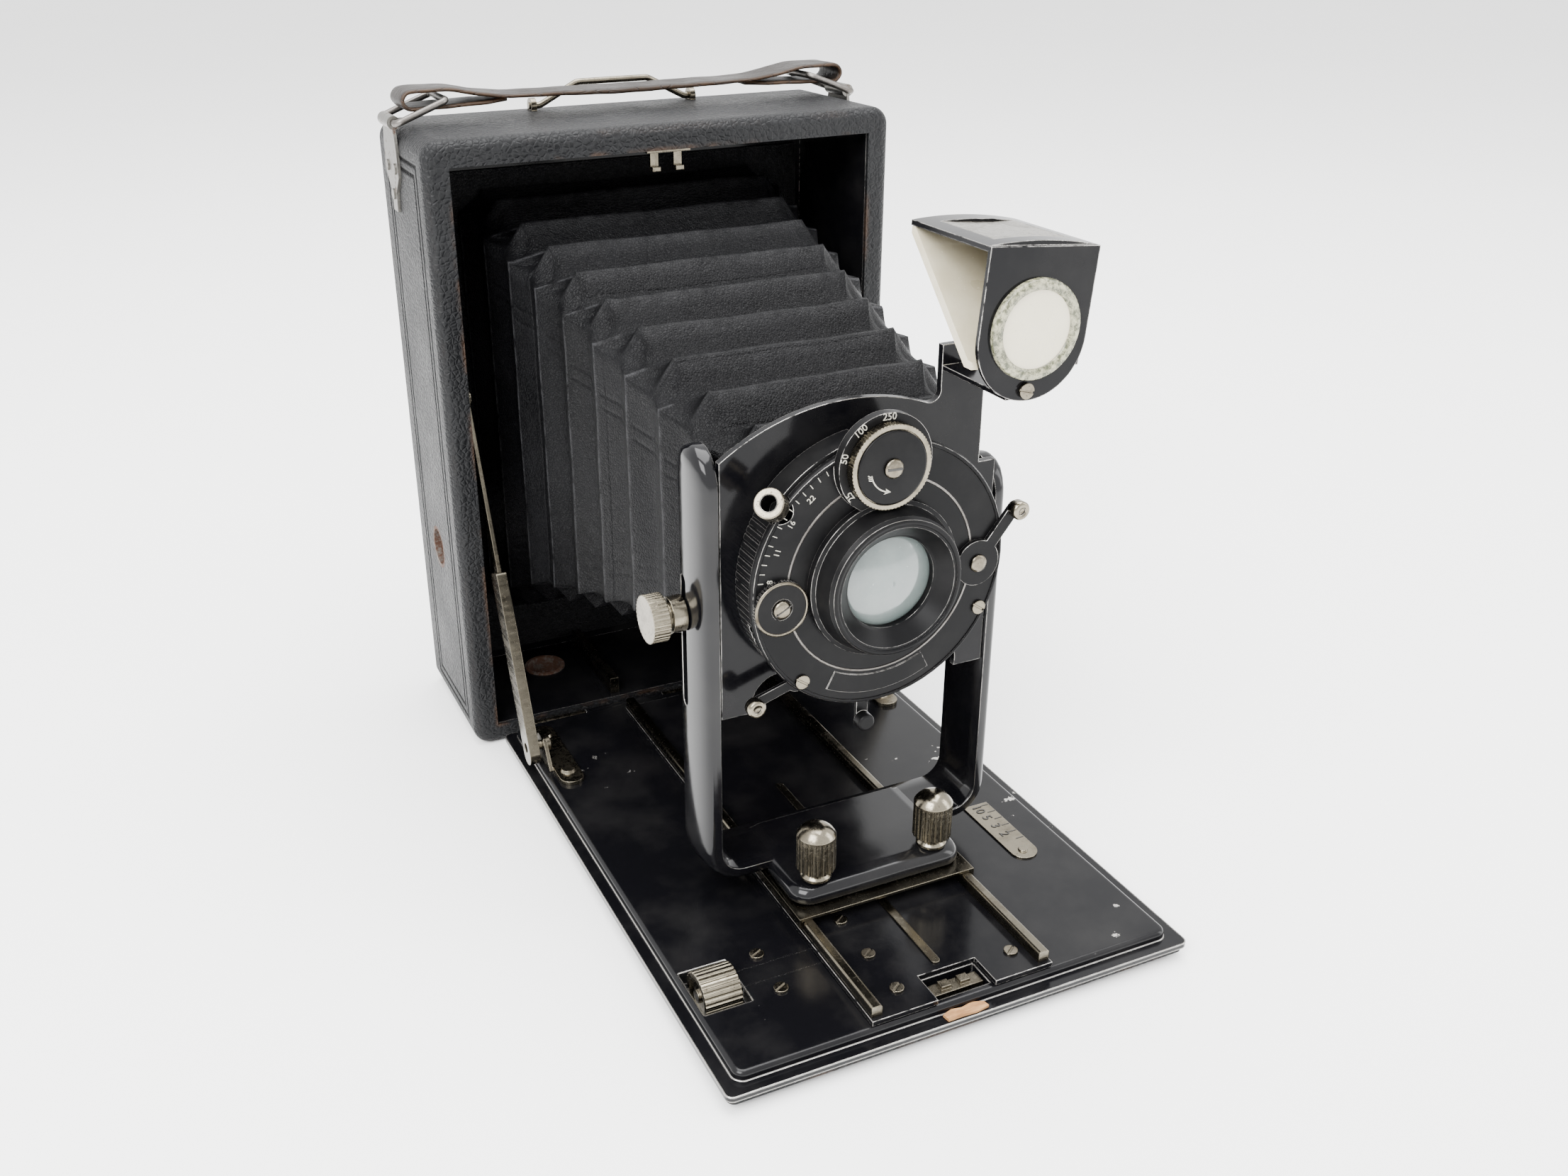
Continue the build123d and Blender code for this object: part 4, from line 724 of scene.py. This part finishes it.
def shelf_outline(inset, z):
    """The shelf between the arms: square at the rear, with two rounded corners in front."""
    half, rear, front, bend = 20.5 - inset, 83.0, 109.6 - inset, 4.5
    ring = [P(half, rear, z), P(half, (rear + front) / 2, z)]
    ring += [P(half - bend + bend * math.cos(a), front - bend + bend * math.sin(a), z) for a in quarter(8)]
    ring += [P(-half + bend - bend * math.sin(a), front - bend + bend * math.cos(a), z) for a in quarter(8)]
    return ring + [P(-half, (rear + front) / 2, z), P(-half, rear, z)]


# (inset of the outline, height): a rounded lower edge, then a raised top with a second small step
shelf_steps = ((0.9, 10.85), (0.3, 11.1), (0.0, 11.7), (0.0, 12.9), (0.25, 13.8), (0.8, 14.5), (1.7, 15.0),
               (2.6, 15.1), (3.2, 15.45), (3.9, 15.5))
shelf = loft("standard_shelf", [shelf_outline(i, z) for i, z in shelf_steps], ARMS, "standard")
shelf.data.set_sharp_from_angle(angle=math.radians(50))


# ------------------------------------------------------------------ shutter and lens details


RIGHT, UP = (1, 0, 0), (0, 0, 1)
LENS_Z, FACE = 82.0, 103.7
DIAL_X, DIAL_Z, DIAL_FACE = -1.0, 106.2, 108.3
SELECTOR_X, SELECTOR_Z, SELECTOR_FACE = -22.4, 79.8, 104.9
PAINT = 0.06


def lens_ring(name, profile, look):
    turned_ring(name, 0, LENS_Z, profile, look, "lens_panel")


def screw_head(name, x, z, profile, body):
    """A turned screw head whose last point closes it in the middle."""
    turned(name, x, z, (*profile, (profile[-1][0] + 0.05, 0.05)), NICKEL, body)


lens_ring("barrel_rim", ((110.4, 14.2), (110.7, 14.0), (110.7, 13.2), (110.4, 13.1)), SATIN)
lens_ring("face_groove", ((FACE, 21.0), (FACE + 0.16, 20.9), (FACE + 0.16, 20.5), (FACE, 20.4)), BLUED)
for k, r in enumerate((12.6, 11.9, 11.2)):
    d = 108.9 - k * 0.55
    step = ((d, r + 0.25), (d + 0.3, r + 0.15), (d + 0.3, r - 0.15), (d, r - 0.25))
    lens_ring(f"barrel_step_{k + 1}", step, SATIN)
lens_ring("face_rim", ((FACE, 28.0), (FACE + 0.25, 27.8), (FACE + 0.25, 27.3), (FACE, 27.2)), SATIN)

turned("speed_dial_face", DIAL_X, DIAL_Z, ((107.6, 7.3), (108.25, 7.3), (DIAL_FACE, 7.0), (DIAL_FACE, 0.05)),
       SATIN, "speed_ring")
screw_head("speed_dial_screw", DIAL_X, DIAL_Z, ((DIAL_FACE, 2.0), (108.9, 1.9), (109.1, 1.4)), "speed_ring")
slab("speed_dial_slot", ((-2.6, 106.0), (0.6, 105.9), (0.6, 106.4), (-2.6, 106.5)), 109.16, 109.2, BLACK_INK,
     "speed_ring", axis="Y")
turned_ring("selector_rim", SELECTOR_X, SELECTOR_Z,
            ((SELECTOR_FACE, 5.72), (105.15, 5.7), (105.2, 5.2), (105.1, 5.1)), NICKEL, "selector")
for k, (text, angle) in enumerate((("25", 215), ("50", 165), ("100", 128), ("250", 88))):
    a = math.radians(angle)
    writing(f"speed_{k + 1}", text, P(DIAL_X + 9.3 * math.cos(a), 105.72, DIAL_Z + 9.3 * math.sin(a)), 2.0,
            (RIGHT, UP), WHITE, "lens_panel", turn=angle - 90)


def dial_mark(name, pairs):
    """White paint on the speed dial. pairs are (radius, degrees) about its centre."""
    corners = tuple((DIAL_X + r * math.cos(math.radians(a)), DIAL_Z + r * math.sin(math.radians(a)))
                    for r, a in pairs)
    slab(name, corners, DIAL_FACE, DIAL_FACE + PAINT, WHITE, "speed_ring", axis="Y")


arrow = [(4.55, 190 + 5 * k) for k in range(14)]
dial_mark("dial_arrow_shaft", arrow + [(4.8, a) for r, a in arrow[::-1]])
dial_mark("dial_arrow_head", ((4.1, 249), (4.7, 266), (5.3, 249), (4.7, 254)))
for k in range(3):
    feather = ((4.7, 192 + 5 * k), (5.4, 186 + 5 * k), (5.45, 188.5 + 5 * k), (4.7, 195 + 5 * k))
    dial_mark(f"dial_arrow_feather_{k + 1}", feather)
screw_head("selector_screw", SELECTOR_X, SELECTOR_Z, ((SELECTOR_FACE, 1.9), (105.5, 1.85), (105.75, 1.3)),
           "selector")
slab("selector_screw_slot", ((-24.1, 78.75), (-20.8, 80.5), (-20.7, 80.85), (-24.0, 79.1)), 105.81, 105.86,
     BLACK_INK, "selector", axis="Y")
for k in range(14):
    a = math.radians(118 + k * 4.2)
    corners = tuple((r * math.cos(a + o / r), LENS_Z + r * math.sin(a + o / r))
                    for r, o in ((26.0, -0.08), (27.2 if k % 2 else 27.0, -0.08), (27.2, 0.08),
                                 (26.0, 0.08)))
    slab(f"stop_mark_{k + 1}", corners, FACE, FACE + PAINT, WHITE, "lens_panel", axis="Y")
for k, (text, angle) in enumerate((("8", 172), ("11", 158), ("16", 144), ("22", 130))):
    a = math.radians(angle)
    writing(f"stop_{k + 1}", text, P(24.6 * math.cos(a), FACE + 0.02, LENS_Z + 24.6 * math.sin(a)), 1.7,
            (RIGHT, UP), WHITE, "lens_panel", turn=angle - 90)
for name, body, x, z, d in (("cocking_button", "cocking", 30.0, 91.4, 107.1),
                            ("release_button", "release", -26.3, 57.2, 102.5)):
    dished = ((d - 2.2, 1.9), (d - 0.3, 1.95), (d + 0.1, 1.6), (d + 0.1, 0.8), (d - 0.4, 0.75),
              (d - 0.4, 0.05))
    turned(name, x, z, dished, BRIGHT, body)
turned("cocking_screw", 21.8, 80.8, ((104.8, 1.9), (105.3, 1.8), (105.5, 1.2), (105.5, 0.05)),
       NICKEL, "cocking")


# the sleeve round the cable socket: (distance out along the socket, radius)
socket_foot = P(-20.2, 100.0, 97.8)
socket_way = Vector((-0.61, -0.59, 0.53)).normalized()
socket_side = socket_way.cross(Vector((0, 1, 0))).normalized()
socket_up = socket_way.cross(socket_side)
socket_profile = ((3.4, 2.06), (4.7, 2.1), (4.75, 2.96), (8.3, 3.0), (8.5, 2.8), (8.45, 1.75), (8.3, 1.62),
                  (7.2, 1.58), (7.2, 1.9), (3.4, 2.0))
socket_rings = []
for out, r in socket_profile:
    middle = socket_foot + socket_way * (out * MM)
    socket_rings.append([middle + (socket_side * math.cos(a) + socket_up * math.sin(a)) * (r * MM)
                         for a in (2 * math.pi * k / 40 for k in range(40))])
sleeve = loft("socket_sleeve", socket_rings + [socket_rings[0]], NICKEL, "lens_panel", caps=False)
sleeve.data.set_sharp_from_angle(angle=math.radians(40))


# ------------------------------------------------------------------ finder details


LEAN = math.radians(5.0)


def finder_point(x, back, h):
    """A point in the leaning finder: x across it, back from its front and h up from its foot."""
    across = x * math.cos(LEAN) + h * math.sin(LEAN)
    return P(19.6 + across, 118.0 - back, 121.5 - x * math.sin(LEAN) + h * math.cos(LEAN))


rings = []
for back, r in ((-0.9, 9.25), (-1.9, 9.2), (-2.15, 8.9), (-2.15, 7.5), (-1.7, 7.2)):
    rings.append([finder_point(r * math.cos(a), back, 11.3 + r * math.sin(a))
                  for a in (2 * math.pi * k / ROUND for k in range(ROUND))])
loft("finder_ring", rings, CRACKLE, "finder", caps=False)


# ------------------------------------------------------------------ bed details


SCALE_TOP = 6.6
for k, text in enumerate(("10", "5", "3", "2")):
    writing(f"distance_{k + 1}", text, P(38.2, 88.6 + k * 3.6, SCALE_TOP + 0.02), 3.3,
            ((0, -1, 0), (1, 0, 0)), BLACK_INK, "bed")
for k in range(6):
    d = 87.4 + k * 2.9
    corners = ((39.6, d), (41.6, d), (41.6, d + 0.25), (39.6, d + 0.25))
    slab(f"distance_line_{k + 1}", corners, SCALE_TOP, SCALE_TOP + PAINT, BLACK_INK, "bed")
tear = ((-5.6, 143.2), (-3.4, 142.5), (-1.2, 142.9), (1.4, 142.4), (3.8, 143.1), (4.1, 144.6), (1.2, 145.0),
        (-2.2, 144.8), (-5.3, 144.9))
slab("torn_patch", tear, 4.1, 4.75, WOOD, "bed")


# ------------------------------------------------------------------ stage, light and camera


def floor_paper(name):
    """Pale paper, faintly uneven."""
    m = Mat(name)
    tint = m.mix(m.ramp(m.noise(3), 0.3, 0.7), (0.97, 0.97, 0.965), (0.985, 0.985, 0.98))
    return m.set(color=tint, rough=m.ramp(m.noise(30), 0.3, 0.7, 0.7, 0.85), spec=0.2)


FLOOR = 6
floor = build("floor", [(-FLOOR, -FLOOR, 0), (FLOOR, -FLOOR, 0), (FLOOR, FLOOR, 0), (-FLOOR, FLOOR, 0)],
              [(0, 1, 2, 3)], floor_paper("floor_paper"), None)

world = bpy.data.worlds.new("studio")
bpy.context.scene.world = world
world.use_nodes = True
background = world.node_tree.nodes["Background"]
background.inputs["Color"].default_value = (1.0, 1.0, 1.0, 1.0)
background.inputs["Strength"].default_value = 2.3


def softbox(name, at, aim, size, power):
    """A rectangular lamp at one place, aimed at another."""
    data = bpy.data.lights.new(name, "AREA")
    data.shape = "RECTANGLE"
    data.size, data.size_y = size
    data.energy = power
    obj = bpy.data.objects.new(name, data)
    obj.location = at
    obj.rotation_euler = (Vector(aim) - Vector(at)).to_track_quat("-Z", "Y").to_euler()
    bpy.context.scene.collection.objects.link(obj)


softbox("key", (-0.7, -0.5, 0.9), (0, 0, 0.08), (0.7, 0.7), 26)
softbox("top", (0.1, 0.1, 1.1), (0, 0, 0.05), (0.9, 0.9), 26)
softbox("right", (0.9, -0.5, 0.5), (0, 0, 0.08), (0.4, 0.8), 6)

# the camera's bearing, its angle down and its roll
AZ, EL, ROLL = (math.radians(v) for v in (-23.643, 25.472, -0.854))
ahead = Vector((-math.sin(AZ) * math.cos(EL), math.cos(AZ) * math.cos(EL), -math.sin(EL)))
right = ahead.cross(Vector((0, 0, 1))).normalized()
up = right.cross(ahead)
right, up = right * math.cos(ROLL) + up * math.sin(ROLL), up * math.cos(ROLL) - right * math.sin(ROLL)
data = bpy.data.cameras.new("camera")
data.sensor_width = 36.0
data.lens = 33.68
data.shift_x = 0.0452
camera = bpy.data.objects.new("camera", data)
turn = Matrix((right, up, -ahead)).transposed().to_4x4()
camera.matrix_world = Matrix.Translation((-0.13528, -0.28145, 0.20444)) @ turn
bpy.context.scene.collection.objects.link(camera)
bpy.context.scene.camera = camera
